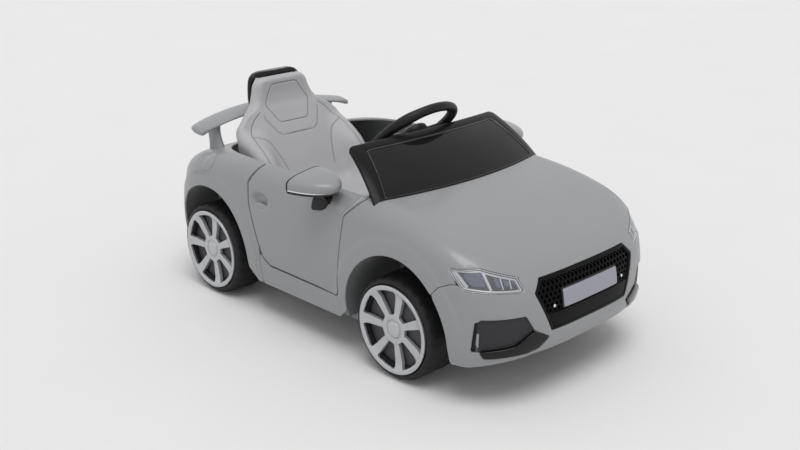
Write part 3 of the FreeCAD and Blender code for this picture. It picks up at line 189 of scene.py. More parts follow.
def liner_with_painted_light():
    """Liner moulding with painted light: lighter on the faces turned up to the cockpit, as if lit from above.
    """
    recipe = Recipe("liner_moulding")
    facing = recipe.node("ShaderNodeSeparateXYZ", {0: recipe.place["Normal"]}).outputs["Z"]
    mottled = recipe.mix(recipe.noise(MOTTLE_SCALE), colour(112, 113, 114), colour(124, 125, 126))
    # Painted light: the normal's height picks the lighter colour for up-turned faces and the darker mottled
    # one for the rest.
    recipe.paint(recipe.between(facing, 0.0, 1.0, full_at=0.15), mottled, colour(140, 141, 143))
    recipe.gloss(recipe.noise(GLOSS_SCALE), 0.49, 0.61)
    recipe.bump(recipe.noise(900, 2), 0.00015)
    return recipe.material


POLISHED = {"grain": 300, "relief": 0.00002}
GRAINED = {"relief": 0.0001}
BODY_TONE = colour(146, 147, 149)
BODY = moulded("body_moulding", BODY_TONE, 0.36, grain=1800, relief=0.00003, spread=0.02, coat=0.15)
BLACK = moulded("black_moulding", colour(17, 17, 18), 0.45, spread=0.12, shine=0.3, **GRAINED)
INNER_GREY = moulded("inner_moulding", colour(128, 129, 131), 0.55, **GRAINED)
GLOSS_BLACK = moulded("gloss_black", colour(10, 10, 11), 0.16, coat=0.25, shine=0.2, **POLISHED)
FRAME_BLACK = moulded("frame_black", colour(24, 24, 25), 0.3, shine=0.12, **POLISHED)
DEEP_BLACK = moulded("deep_black", colour(9, 9, 10), 0.3, coat=0.06, shine=0.08, **POLISHED)
DARK_PANEL = moulded("dark_panel", colour(48, 48, 51), 0.5, spread=0.06, shine=0.3, **GRAINED)
SPOKE_SHADE = moulded("spoke_shade", colour(62, 62, 65), 0.5, spread=0.06, **GRAINED)
LINER_PAINTED_LIGHT = liner_with_painted_light()
SEAT = seat_plastic()
SILVER = lacquered_silver("silver_lacquer", colour(190, 191, 194), 0.34)
PLATE = lacquered_silver("plate_silver", colour(158, 158, 168), 0.4)
CHROME = bright_metal("chrome_line", colour(235, 236, 238), 0.12)
STEEL = bright_metal("zinc_steel", colour(178, 180, 182), 0.35)
MIRROR = bright_metal("mirror_film", colour(225, 228, 232), 0.04)
LENS = clear_plastic("lamp_lens", colour(240, 243, 248), 0.05, 0.07)
RED_LENS = clear_plastic("red_lens", colour(150, 16, 18), 0.1, 0.85)
PANE = clear_plastic("smoked_pane", colour(26, 26, 26), 0.08, 0.93, coat=0.06, shine=0.18)
# The bead's colour is mottled from near black to mid grey: painted glints along the pane's edge, over its
# real gloss coat.
BEAD_PAINTED_GLINTS = moulded("pane_bead", colour(58, 59, 60), 0.2, spread=0.9, coat=1.0, **POLISHED)
BLUE_CELL = moulded("lamp_cell", colour(60, 64, 88), 0.2, grain=300, spread=0.35, coat=0.4)
TYRE = tyre_plastic()


# Meshes from points and faces

SHARP = math.radians(50)
BEVEL_STEPS, BEVEL_ANGLE = 2, math.radians(35)
FLIPPED = [0, 3, 2, 1]
TINY, LEAST_LENGTH = 1e-6, 1e-9


def add_object(name, data):
    item = bpy.data.objects.new(name, data)
    scene.collection.objects.link(item)
    return item


def add_mesh(name, points, faces, material, body, replaced=(), smooth=True):
    mesh = bpy.data.meshes.new(name)
    mesh.from_pydata((np.asarray(points, float) * MM).tolist(), [], faces)
    mesh.polygons.foreach_set("use_smooth", [smooth] * len(mesh.polygons))
    mesh.update()
    mesh.set_sharp_from_angle(angle=SHARP)
    mesh.materials.append(material)
    piece = add_object(name, mesh)
    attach(piece, body)
    if replaced:
        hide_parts(*replaced)
    return piece


def dress_node(name, material, rounding=0.0):
    """Gives a carried-over solid its material, and softer edges where asked."""
    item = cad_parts[name]
    item.data.materials.clear()
    item.data.materials.append(material)
    if rounding:
        bevel = item.modifiers.new("soft_edges", "BEVEL")
        bevel.width = rounding * MM
        bevel.segments = BEVEL_STEPS
        bevel.limit_method = "ANGLE"
        bevel.angle_limit = BEVEL_ANGLE


def unit(rows):
    return rows / np.maximum(np.linalg.norm(rows, axis=-1, keepdims=True), LEAST_LENGTH)


def positive(values):
    return np.clip(values, 0, None)


def split(points):
    """The x, y and z of points."""
    return np.moveaxis(points, -1, 0)


def circle(count):
    """Angles spread all the way round."""
    return np.linspace(0, 2 * math.pi, count, endpoint=False)


def even(low, high, spacing):
    return np.linspace(low, high, max(int(round((high - low) / spacing)), 2) + 1)


def ease(value, low, high):
    """0 below low, 1 above high, smooth between."""
    share = np.clip((value - low) / (high - low), 0, 1)
    return share * share * (3 - 2 * share)


def grid_quads(rows, columns, loop=False, around=True):
    """The corners of each cell of a grid, whose last row and last column may join the first ones."""
    index = np.arange(rows * columns).reshape(rows, columns)
    here, ahead = (index, np.roll(index, -1, 0)) if loop else (index[:-1], index[1:])
    cells = np.stack([here, ahead, np.roll(ahead, -1, 1), np.roll(here, -1, 1)], -1)
    return (cells if around else cells[:, :-1]).reshape(-1, 4)


def loft(name, rings, material, body, replaced=(), loop=False):
    """A skin over closed rings of points, capped at both ends or joined into a loop."""
    rings = np.asarray(rings, float)
    points, around = rings.reshape(-1, 3), rings.shape[1]
    faces = grid_quads(*rings.shape[:2], loop).tolist()
    if not loop:
        faces.append(list(range(around)))
        faces.append(list(range(len(points)))[:-around - 1:-1])
    return add_mesh(name, points, faces, material, body, replaced)


def smooth_line(points, count):
    """Points spread along a smooth curve through a few given ones."""
    points = np.asarray(points, float)
    ends = np.concatenate([2 * points[:1] - points[1:2], points, 2 * points[-1:] - points[-2:-1]])
    at = np.linspace(0, len(points) - 1, count)
    low = np.minimum(at.astype(int), len(points) - 2)
    t = (at - low)[:, None]
    a, b, c, d = (ends[low + k] for k in range(4))
    square = (2 * a - 5 * b + 4 * c - d) * t ** 2
    cube = (3 * b - a - 3 * c + d) * t ** 3
    return 0.5 * (2 * b + (c - a) * t + square + cube)


def super_ring(half_u, half_v, power, count):
    """Points round a rounded box in two directions."""
    wave = np.stack([np.cos(circle(count)), np.sin(circle(count))], -1)
    return np.array([half_u, half_v]) * np.sign(wave) * np.abs(wave) ** (2 / power)


# The body's outer form, the same as in the solids

SIDE_HALF, SIDE_BOW = 262, (190, 14, 143, 10, 114)
NOSE_X, NOSE_LONG, NOSE_BOW, NOSE_POWER = 337, 183, (145, 17, 98, 19, 65), 3.0
TAIL_X, TAIL_LONG, TAIL_BOW, TAIL_POWER = -293, 227, (130, 30, 160, 20, 60), 3.2
SHORTEST_END = 4
TOP_Z, TOP_CROWN, TOP_BLEND = 338, 6, 38
BONNET_X, BONNET_LONG, BONNET_FALL, BONNET_POWER = 100, 395, 88, 2.7
DECK_X, DECK_LONG, DECK_FALL, DECK_POWER = -100, 400, 68, 2.5
SLOPE_STEP = 0.4
HALVINGS = 36


def bow(z, middle, upper, upper_span, lower, lower_span):
    """What a side loses above and below its fullest height."""
    return upper * (positive(z - middle) / upper_span) ** 2 + lower * (positive(middle - z) / lower_span) ** 2


def oval(along, across, reach, half, power):
    """About how far points are outside an oval, from their shares of its reach and half width."""
    size = np.maximum((along ** power + across ** power) ** (1 / power), TINY)
    slope = np.hypot((along / size) ** (power - 1) / reach, (across / size) ** (power - 1) / half)
    return (size - 1) / np.maximum(slope, TINY)


def outside(points):
    """About how far points are outside the body; negative inside."""
    x, y, z = split(points)
    half = SIDE_HALF - bow(z, *SIDE_BOW)
    nose = np.maximum(NOSE_LONG - bow(z, *NOSE_BOW), SHORTEST_END)
    tail = np.maximum(TAIL_LONG - bow(z, *TAIL_BOW), SHORTEST_END)
    along = positive(x - NOSE_X) / nose + positive(TAIL_X - x) / tail
    across = np.abs(y) / half
    reach = np.where(x > NOSE_X, nose, np.where(x < TAIL_X, tail, half))
    side = oval(along, across, reach, half, np.where(x < TAIL_X, TAIL_POWER, NOSE_POWER))
    bonnet = BONNET_FALL * (positive(x - BONNET_X) / BONNET_LONG) ** BONNET_POWER
    deck = DECK_FALL * (positive(DECK_X - x) / DECK_LONG) ** DECK_POWER
    top = z - (TOP_Z - bonnet - deck - TOP_CROWN * across ** 2)
    overlap = positive(TOP_BLEND - np.abs(side - top))
    return np.maximum(side, top) + overlap ** 2 / (4 * TOP_BLEND)


def gradient(function, points):
    slopes = []
    for axis in np.eye(3) * SLOPE_STEP:
        slopes.append(function(points + axis) - function(points - axis))
    return np.stack(slopes, -1) / (2 * SLOPE_STEP)


def crossing(start, direction, far):
    """Where rays from inside or outside meet the body, no further off than a distance."""
    low, high = np.zeros(start.shape[:-1]), np.full(start.shape[:-1], float(far))
    sign = np.sign(outside(start))
    for _ in range(HALVINGS):
        middle = (low + high) / 2
        same = np.sign(outside(start + direction * middle[..., None])) == sign
        low, high = np.where(same, middle, low), np.where(same, high, middle)
    return start + direction * low[..., None]


FRONT_AXLE, REAR_AXLE, ARCH_SHIFT = 255.0, -323.0, 8
ARCHES = (FRONT_AXLE + ARCH_SHIFT, REAR_AXLE + ARCH_SHIFT)
ARCH_Z, ARCH_RADIUS = 116, 133
FLARE_HEIGHT, FLARE_EDGE, FLARE_FOOT = 2.8, (162, 168), (84, 120)
SIDE_FACING, NOSE_FACING = (0.35, 0.75), (0.45, 0.75)
SCOOP_X, SCOOP_Z, SCOOP_LONG, SCOOP_TALL, SCOOP_DEPTH, SCOOP_EDGE = -136, 262, 31, 18, 9, (0.55, 1.0)
LIP_STEP, LIP_EDGE, LIP_END = 3.0, (110.5, 115.5), (140, 160)


def arch_distance(points, centre):
    """Distance from a wheel arch's centre line in the side view, straight below the axle."""
    return np.hypot(points[..., 0] - centre, positive(points[..., 2] - ARCH_Z))


def relief(points, normals, scooped):
    """Height of the flares, less the depth of the handle scoops and the step along the lower lip."""
    x, y, z = split(points)
    height = np.zeros(x.shape)
    on_side = ease(np.abs(normals[..., 1]), *SIDE_FACING)
    for centre in ARCHES:
        on_flare = 1 - ease(arch_distance(points, centre), *FLARE_EDGE)
        height += FLARE_HEIGHT * on_side * on_flare * ease(z, *FLARE_FOOT)
    if scooped:
        reach = np.hypot((x - SCOOP_X) / SCOOP_LONG, (z - SCOOP_Z) / SCOOP_TALL)
        height -= SCOOP_DEPTH * on_side * (1 - ease(reach, *SCOOP_EDGE))
    on_nose = ease(normals[..., 0], *NOSE_FACING) * (1 - ease(np.abs(y), *LIP_END))
    return height - LIP_STEP * on_nose * (1 - ease(z, *LIP_EDGE))


def dressed(points, scooped=True):
    """Surface points with the relief added, and their normals."""
    normals = unit(gradient(outside, points))
    return points + normals * relief(points, normals, scooped)[..., None], normals


# Outlines as signed distances, negative inside

def grown(outline, amount):
    """An outline with every side moved outwards by an amount."""
    corners = np.asarray(outline, float)
    following = np.roll(corners, -1, 0)
    ahead = following - corners
    turn = np.sign(np.sum(corners[:, 0] * following[:, 1] - following[:, 0] * corners[:, 1]))
    normal = turn * unit(np.stack([ahead[:, 1], -ahead[:, 0]], -1))
    shift = np.sum(normal * corners, -1) + amount
    before, level = np.roll(normal, 1, 0), np.roll(shift, 1)
    cross = before[:, 0] * normal[:, 1] - normal[:, 0] * before[:, 1]
    first = (level * normal[:, 1] - shift * before[:, 1]) / cross
    second = (before[:, 0] * shift - normal[:, 0] * level) / cross
    return np.stack([first, second], -1)


def path_distance(u, v, path):
    """Distance to an open line."""
    squares = []
    for (ax, ay), (bx, by) in zip(path[:-1], path[1:]):
        ex, ey = bx - ax, by - ay
        share = np.clip(((u - ax) * ex + (v - ay) * ey) / (ex * ex + ey * ey), 0, 1)
        squares.append((u - ax - ex * share) ** 2 + (v - ay - ey * share) ** 2)
    return np.sqrt(np.minimum.reduce(squares))


def polygon(u, v, outline, rounding=0.0):
    """Signed distance to an outline whose corners are rounded."""
    corners = grown(outline, -rounding) if rounding else np.asarray(outline, float)
    path = np.concatenate([corners, corners[:1]])
    inside = np.zeros(u.shape, bool)
    for (ax, ay), (bx, by) in zip(path[:-1], path[1:]):
        inside ^= ((ay > v) != (by > v)) & (u < ax + (bx - ax) * (v - ay) / (by - ay or TINY))
    return np.where(inside, -1, 1) * path_distance(u, v, path) - rounding


def side_view(points):
    return points[..., 0], points[..., 2]


def end_view(points):
    return points[..., 1], points[..., 2]


def corner_view(points):
    """Distance along a corner of the car, and height."""
    return (np.abs(points[..., 0]) - np.abs(points[..., 1])) * ROOT_HALF, points[..., 2]


DOOR = [(-127, 368), (-178, 292), (-173, 246), (-132, 138), (-106, 124), (110, 124), (112, 200), (122, 292),
        (198, 368)]
SEAM = [(340, 0), (340, 185), (377, 227), (400, 238), (440, 243), (480, 247), (560, 250), (560, 0)]
TAIL_ZONE = [(-560, 0), (-560, 196), (-460, 196), (-430, 176), (-430, 0)]
GRILLE = [(125, 240), (145, 218), (111, 142), (-111, 142), (-145, 218), (-125, 240)]
TAIL_OPENING = [(-92, 140), (92, 140), (92, 196), (-92, 196)]
LAMP = [(96, 266), (123, 232), (233, 225), (218, 249), (153, 268)]
INTAKE = [(154, 181), (153, 119.5), (217, 128), (252, 153), (236, 182)]
BLADE = [(153, 118.5), (217, 127), (253, 152), (282, 132), (258, 109), (163, 104)]
SLOT = [(145, 176), (139, 116), (146, 116), (149.5, 176)]
TAIL_LAMP = [(140, 264), (150, 230), (262, 226), (250, 260)]
LOW_EDGE = [(-560, 92), (-448, 92), (-208, 127), (-182, 101), (-156, 75), (104, 78), (130, 101), (156, 127),
            (370, 81), (430, 81), (498, 100), (560, 100)]
BODY_SPLIT = -140
SEAM_CLOSE = 1.2
SEAM_OPENS = (225, 255)
COCKPIT_X, COCKPIT_LONG, COCKPIT_HALF, COCKPIT_POWER = -140, 276, 222, 2.5
COCKPIT_FRONT, COCKPIT_CURVE, COCKPIT_FOOT = 182, 28.8, 232
DOOR_GAP, DOOR_CLOSER, DOOR_FRONT = 3, 1.8, (40, 100)
LAMP_END = 200
OFF = 50.0


def low_field(points):
    xs, zs = zip(*LOW_EDGE)
    return np.interp(points[..., 0], xs, zs) - points[..., 2]


def arch_field(points):
    return np.maximum.reduce([ARCH_RADIUS - arch_distance(points, centre) for centre in ARCHES])


def cockpit_field(points):
    """Distance inside the cockpit opening, seen from above."""
    x, y, z = split(points)
    behind = positive(COCKPIT_X - x) / COCKPIT_LONG
    across = np.abs(y) / COCKPIT_HALF
    front = COCKPIT_FRONT + COCKPIT_CURVE * (1 - across ** 2)
    inside = np.minimum(-oval(behind, across, COCKPIT_LONG, COCKPIT_HALF, COCKPIT_POWER), front - x)
    return np.where(z > COCKPIT_FOOT, inside, -OFF)


def hole(view, outline, rounding):
    """A field that is positive inside an outline."""
    def field(points):
        return -polygon(*view(points), outline, rounding)
    return field


lamp_hole = hole(corner_view, LAMP, rounding=4)
tail_lamp_hole = hole(corner_view, TAIL_LAMP, rounding=4)
intake_hole = hole(corner_view, INTAKE, rounding=3)
blade_hole = hole(corner_view, BLADE, rounding=1)
slot_hole = hole(corner_view, SLOT, rounding=1)
grille_hole = hole(end_view, GRILLE, rounding=5)
tail_hole = hole(end_view, TAIL_OPENING, rounding=5)
door_hole = hole(side_view, DOOR, rounding=13)
bumper_zone = hole(side_view, SEAM, rounding=4)
tail_zone = hole(side_view, TAIL_ZONE, rounding=4)


def lamp_fields(points):
    front = np.where(points[..., 0] > LAMP_END, lamp_hole(points), -OFF)
    rear = np.where(points[..., 0] < -LAMP_END, tail_lamp_hole(points), -OFF)
    return np.maximum(front, rear)


def joined(points, *fields):
    """The greatest of several fields, which is below zero only where all of them are."""
    return np.maximum.reduce([field(points) for field in fields])


def shell_field(points):
    """Positive off the painted shell of the car as a whole."""
    return joined(points, low_field, arch_field, cockpit_field, lamp_fields)


def seam_closing(points):
    """How far the bumper's seam closes: nearly shut over the nose, open at the sides."""
    return SEAM_CLOSE * (1 - ease(np.abs(points[..., 1]), *SEAM_OPENS))


def body_field(sign):
    """The field of the painted body in front of its split, or behind it."""
    def field(points):
        bumper = bumper_zone(points) - seam_closing(points)
        main = np.maximum(bumper, joined(points, tail_zone, door_hole, shell_field))
        return np.maximum(main, sign * (BODY_SPLIT - points[..., 0]))
    return field


def front_bumper_field(points):
    holes = joined(points, grille_hole, intake_hole, blade_hole, slot_hole, shell_field)
    return np.maximum(holes, -bumper_zone(points) - seam_closing(points))


def rear_bumper_field(points):
    return np.maximum(joined(points, tail_hole, shell_field), -tail_zone(points))


def door_field(sign):
    """The field of the door on one side, closer to its opening in front."""
    def field(points):
        gap = DOOR_GAP - DOOR_CLOSER * ease(points[..., 0], *DOOR_FRONT)
        other_side = np.where(points[..., 1] * sign > 0, -OFF, OFF)
        return np.maximum.reduce([-door_hole(points) + gap, cockpit_field(points), other_side])
    return field


# Shells: the part of a grid where a field is below zero, with a rolled edge and a wall

CUT_ROUNDS, CUT_SHARE = 4, (0.02, 0.98)
ROLL_ANGLES = (math.radians(45), math.radians(90))


def cut_edges(field, points, first, second, values, margin):
    """Points where a field crosses zero on the lines between grid points."""
    low, high = points[first], points[second]
    low_value, high_value = values[first], values[second]
    for _ in range(CUT_ROUNDS):
        share = np.clip(low_value / (low_value - high_value), *CUT_SHARE)[:, None]
        middle = low * (1 - share) + high * share
        value = field(middle) + margin
        same = np.sign(value) == np.sign(low_value)
        low, low_value = np.where(same[:, None], middle, low), np.where(same, value, low_value)
        high, high_value = np.where(same[:, None], high, middle), np.where(same, high_value, value)
    share = np.clip(low_value / (low_value - high_value), 0, 1)[:, None]
    return low * (1 - share) + high * share


def cut_shell(points, normals, field, roll=0.9, wall=4.0, gap=0.5, wrap=False):
    """Points and faces of a closed shell cut out of a grid."""
    quads = grid_quads(*points.shape[:2], wrap, around=False)
    points, normals = points.reshape(-1, 3), normals.reshape(-1, 3)
    margin = gap + roll
    values = field(points) + margin
    kept = values < 0
    count = kept[quads].sum(1)
    whole, mixed = quads[count == 4], quads[(count > 0) & (count < 4)]
    pairs = np.sort(np.concatenate([mixed[:, [k, (k + 1) % 4]] for k in range(4)]), 1)
    pairs = np.unique(pairs[kept[pairs[:, 0]] != kept[pairs[:, 1]]], axis=0)
    cut_at = cut_edges(field, points, pairs[:, 0], pairs[:, 1], values, margin)
    cut_normal = unit(normals[pairs[:, 0]] + normals[pairs[:, 1]])
    cut_index = {tuple(pair): len(points) + k for k, pair in enumerate(pairs.tolist())}
    faces = whole.tolist()
    border = []
    for quad in mixed.tolist():
        face = []
        for a, b in zip(quad, quad[1:] + quad[:1]):
            if kept[a]:
                face.append(a)
            if kept[a] != kept[b]:
                face.append(cut_index[(min(a, b), max(a, b))])
        for a, b in zip(face, face[1:] + face[:1]):
            if a >= len(points) and b >= len(points):
                border.append((a, b))
        faces.append(face)
    every = np.concatenate([points, cut_at])
    outward = np.concatenate([normals, cut_normal])
    corner = np.array(faces[len(faces) // 2][:3])
    a, b, c = every[corner]
    if np.dot(np.cross(b - a, c - a), outward[corner[0]]) < 0:
        faces = [face[::-1] for face in faces]
        border = [(b, a) for a, b in border]
    return close_shell(every, outward, faces, border, field, len(points), roll, wall)


def close_shell(every, outward, faces, border, field, first_cut, roll, wall):
    """Adds the rolled edge, the wall and the inside to a cut sheet."""
    cut_at, cut_normal = every[first_cut:], outward[first_cut:]
    away = gradient(field, cut_at)
    away -= cut_normal * np.sum(away * cut_normal, -1, keepdims=True)
    away = unit(away)
    rings = []
    for angle in ROLL_ANGLES:
        rings.append(cut_at + away * roll * math.sin(angle) - cut_normal * roll * (1 - math.cos(angle)))
    rings.append(cut_at + away * roll - cut_normal * wall)
    inner_start = len(every) + len(rings) * len(cut_at)
    shifts = [k * len(cut_at) for k in range(len(rings) + 1)] + [inner_start]
    result = [list(face) for face in faces]
    for a, b in border:
        for upper, lower in zip(shifts, shifts[1:]):
            result.append([b + upper, a + upper, a + lower, b + lower])
    for face in faces:
        result.append([corner + inner_start for corner in reversed(face)])
    everything = np.concatenate([every] + rings + [every - outward * wall])
    used = np.zeros(len(everything), int)
    for face in result:
        used[face] = 1
    renumber = np.cumsum(used) - 1
    return everything[used > 0], [[int(renumber[corner]) for corner in face] for face in result]


def shell_piece(name, grid, field, material, body="chassis", replaced=(), **settings):
    points, faces = cut_shell(*grid, field, **settings)
    return add_mesh(name, points, faces, material, body, replaced)


# Grids of surface points

GRID_STEP, PATCH_MARGIN = 4.5, 5
SPINE_Z, FAN_REACH, GIRTH, SPINE_RAY = 170, 300, 960, 1040
FAN_ANGLE, LOW_MIDDLE, LOW_END, LOW_TURN = 88, -32, -90, 24
END_FROM, END_RAY = 700, 400
CORNER_FROM, CORNER_RAY = 645, 385
SIDE_FROM, SIDE_RAY = 400, 300


def body_grid():
    """The whole body, fanned out from a spine along the car."""
    spine = NOSE_X - TAIL_X
    middle, fan, around = (int(reach / GRID_STEP) for reach in (spine, FAN_REACH, GIRTH))
    rows = np.arange(-fan, middle + fan + 1)
    past_end = np.where(rows < 0, rows, positive(rows - middle))
    lean = np.radians(FAN_ANGLE * past_end / fan)
    low = LOW_MIDDLE + (LOW_END - LOW_MIDDLE) * ease(np.abs(np.degrees(lean)), 0, LOW_TURN)
    share = np.linspace(0, 1, around + 1)
    angle = np.radians(low[:, None] + (180 - 2 * low[:, None]) * share[None, :])
    lean = np.broadcast_to(lean[:, None], angle.shape)
    direction = np.stack([np.sin(lean), -np.cos(lean) * np.cos(angle), np.cos(lean) * np.sin(angle)], -1)
    start = np.zeros(direction.shape)
    start[..., 0] = (TAIL_X + spine * np.clip(rows / middle, 0, 1))[:, None]
    start[..., 2] = SPINE_Z
    return dressed(crossing(start, direction, SPINE_RAY))


def cast(view, u, v, x_sign=1, y_sign=-1, scooped=True):
    """Surface points that show at outline points u, v in a view."""
    if view is end_view:
        start = [x_sign * END_FROM + 0 * u, u, v]
        direction, ray = (-x_sign, 0, 0), END_RAY
    elif view is corner_view:
        start = [x_sign * (CORNER_FROM + u) * ROOT_HALF, y_sign * (CORNER_FROM - u) * ROOT_HALF, v]
        direction, ray = (-x_sign * ROOT_HALF, -y_sign * ROOT_HALF, 0), CORNER_RAY
    else:
        start = [u, y_sign * SIDE_FROM + 0 * u, v]
        direction, ray = (0, -y_sign, 0), SIDE_RAY
    return dressed(crossing(np.stack(start, -1), np.array(direction, float), ray), scooped)


def patch_piece(view, signs, name, outline, material, depth=0.0, rounding=0.0, body="chassis", replaced=(),
                spacing=2.5, **settings):
    """A piece cut to an outline in a view, lying at a depth below the body's surface."""
    corners = np.asarray(outline)
    low, high = corners.min(0) - PATCH_MARGIN, corners.max(0) + PATCH_MARGIN
    u, v = np.meshgrid(even(low[0], high[0], spacing), even(low[1], high[1], spacing), indexing="ij")
    points, normals = cast(view, u, v, **signs)

    def field(points):
        return polygon(*view(points), outline, rounding)

    grid = (points - normals * depth, normals)
    return shell_piece(name, grid, field, material, body, replaced, **settings)


RIBBON_STEP, LEAST_MITRE = 4, 0.5
CHAMFER_SHARE, MOST_CHAMFER = 0.25, 0.8


def ribbon(view, signs, name, path, material, width, top, bottom, closed=False, body="chassis"):
    """A bar along a line in a view, between two depths below the body's surface."""
    path = np.asarray(path, float)
    if closed:
        path = np.concatenate([path, path[:1]])
    steps = []
    for a, b in zip(path[:-1], path[1:]):
        count = max(int(np.linalg.norm(b - a) / RIBBON_STEP), 1)
        steps.append(a + (b - a) * np.linspace(0, 1, count, endpoint=False)[:, None])
    line = np.concatenate(steps + ([] if closed else [path[-1:]]))
    if closed:
        back, ahead = np.roll(line, 1, 0), np.roll(line, -1, 0)
    else:
        back, ahead = np.concatenate([line[:1], line[:-1]]), np.concatenate([line[1:], line[-1:]])
    before, after = unit(line - back), unit(ahead - line)
    along = unit(before + after)
    lean = np.sum(along * np.where(np.abs(before) > 0, before, after), -1, keepdims=True)
    across = np.stack([-along[:, 1], along[:, 0]], -1) / np.maximum(lean, LEAST_MITRE)
    half, chamfer = width / 2, min(CHAMFER_SHARE * width, MOST_CHAMFER)
    section = [(-half, bottom), (-half, top + chamfer), (-half + chamfer, top), (half - chamfer, top),
               (half, top + chamfer), (half, bottom)]
    rings = []
    for reach, depth in section:
        at = line + across * reach
        points, normals = cast(view, at[:, 0], at[:, 1], **signs)
        rings.append(points - normals * depth)
    points, sides = np.stack(rings, 1).reshape(-1, 3), len(section)
    faces = grid_quads(len(line), sides, closed)[:, FLIPPED].tolist()
    if not closed:
        faces.append(list(range(sides))[::-1])
        faces.append(list(range(len(points) - sides, len(points))))
    return add_mesh(name, points, faces, material, body, smooth=False)


def makers(view, **signs):
    """Makers of patches and ribbons for a view from one side of the car."""
    return partial(patch_piece, view, signs), partial(ribbon, view, signs)


# Painted body and doors

HANDLE = [(-160, 248), (-150, 244.5), (-137, 243), (-122, 246), (-109, 253), (-120, 256.5), (-137, 257),
          (-151, 253.5)]
SAIL = [(94, 300), (106, 329), (147, 331), (114, 291)]
# Path of a painted highlight along the door's front edge by the sail plate.
SAIL_HIGHLIGHT_PATH = [(117, 291), (149, 330)]
REBATE = [(-154, 328), (-178, 292), (-173, 246), (-132, 138), (-106, 124), (-60, 124)]
MIRROR_FOOT = [(31, 287), (35, 284), (60, 289), (69, 295), (86, 322), (40, 322), (33, 310)]


def painted_body():
    grid = body_grid()
    for node, field in (("front_body", body_field(1)), ("rear_body", body_field(-1)),
                        ("front_bumper", front_bumper_field), ("rear_bumper", rear_bumper_field)):
        shell_piece(node + "_skin", grid, field, BODY, replaced=[node])
    for side, sign in SIDES:
        body = "door_" + side
        shell_piece("door_skin_" + side, grid, door_field(sign), BODY, body, [body], wall=10, roll=1.2)


def door_details():
    """Handle blades across their scoops, plates and feet by the mirrors, and rebates at the shut lines."""
    for side, sign in SIDES:
        patch, bar = makers(side_view, y_sign=sign, scooped=False)
        body = "door_" + side
        plate = partial(patch, body=body, gap=0)
        plate("handle_blade_" + side, HANDLE, BODY, depth=0.6, rounding=2, spacing=1.5, wall=3, roll=1.2)
        plate("sail_plate_" + side, SAIL, BODY, depth=-1.6, rounding=3, spacing=2, wall=3, roll=1.2)
        plate("mirror_foot_" + side, MIRROR_FOOT, BLACK, depth=-4, rounding=5, spacing=2, wall=5, roll=2)
        bar("door_rebate_" + side, REBATE, INNER_GREY, width=16, top=10.6, bottom=13)
        # A silver strip on a slightly raised bar: a painted highlight along the door's front edge.
        bar("sail_line_" + side, SAIL_HIGHLIGHT_PATH, SILVER, width=1.8, top=-1.2, bottom=1, body=body)


# Lamps, grille, intakes and plate

LAMP_ROUNDING, LAMP_FLOOR = 4, 9
LAMP_BARS = (("strip", [(128, 234.6), (227, 229)], 3, 2.6), ("divider", [(159, 263), (173, 234)], 5, 2.6),
             ("post", [(108, 263), (130, 237)], 6, 2.8), ("fin_189", [(189, 255), (195, 234)], 1.8, 3),
             ("fin_204", [(204, 255), (210, 234)], 1.8, 3))
BIG_CELL = [(120, 260), (138, 239), (167, 237), (155, 262)]
SMALL_CELL = [(0, 256), (6, 236), (16, 235), (12, 252)]
SMALL_CELLS = (175, 190, 205)


def headlamp(side, sign):
    patch, bar = makers(corner_view, x_sign=1, y_sign=sign)
    name = "headlamp_" + side
    patch(name + "_lens", LAMP, LENS, rounding=LAMP_ROUNDING, replaced=["headlamp_lens_" + side], wall=1.6,
          roll=0.5)
    patch(name + "_tray", grown(LAMP, -0.5), GLOSS_BLACK, LAMP_FLOOR, LAMP_ROUNDING,
          replaced=["headlamp_housing_" + side], wall=2, roll=0.4)
    bar(name + "_frame", grown(LAMP, -2.8), SILVER, width=2.6, top=2.4, bottom=LAMP_FLOOR, closed=True)
    bar(name + "_outline", grown(LAMP, -0.6), SILVER, width=0.9, top=-0.2, bottom=2, closed=True)
    for part, path, width, top in LAMP_BARS:
        bar(name + "_" + part, path, SILVER, width, top, LAMP_FLOOR)
    patch(name + "_big_cell", BIG_CELL, BLUE_CELL, depth=5, rounding=4, wall=2, roll=0.8)
    for start in SMALL_CELLS:
        cell = np.array(SMALL_CELL) + (start, 0)
        patch(name + "_cell_%d" % start, cell, BLUE_CELL, depth=6, rounding=2, wall=2, roll=0.6)


MESH_PITCH, MESH_GROWTH = 11, 1.1
EDGE_CLEAR, PLATE_CLEAR = 0.45, 0.4
CELL_SHARES = (0.5, 0.5, 0.36, 0.34)
CELL_SIDES = 6


def honeycomb(name, outline, material, keep_out, x_sign, top, bottom):
    """A field of six-sided cells standing on a panel at the nose or tail."""
    corners = np.asarray(outline)
    low, high = corners.min(0), corners.max(0)
    centres = []
    rise = MESH_PITCH * math.sqrt(3) / 2
    for row in range(int((high[1] - low[1]) / rise) + 1):
        for step in range(int((high[0] - low[0]) / MESH_PITCH) + 2):
            centres.append((low[0] + (step + 0.5 * (row % 2)) * MESH_PITCH, low[1] + row * rise))
    centres = np.array(centres)
    u, v = centres[:, 0], centres[:, 1]
    clear = polygon(u, v, outline) < -MESH_PITCH * EDGE_CLEAR
    for other in keep_out:
        clear &= polygon(u, v, other) > MESH_PITCH * PLATE_CLEAR
    centres = centres[clear]
    angle = circle(CELL_SIDES) + math.pi / CELL_SIDES
    spokes = np.stack([np.cos(angle), np.sin(angle)], -1)
    rings = []
    for share, depth in zip(CELL_SHARES, (bottom, top, top, bottom)):
        at = centres[:, None, :] + spokes[None] * share * MESH_PITCH * MESH_GROWTH
        points, normals = cast(end_view, at[..., 0], at[..., 1], x_sign=x_sign)
        rings.append(points - normals * depth)
    points = np.stack(rings, 1).reshape(-1, 3)
    cell = grid_quads(len(rings), CELL_SIDES)[:, FLIPPED]
    faces = []
    for first in range(0, len(points), len(rings) * CELL_SIDES):
        faces += (cell + first).tolist()
    return add_mesh(name, points, faces, material, "chassis", smooth=False)


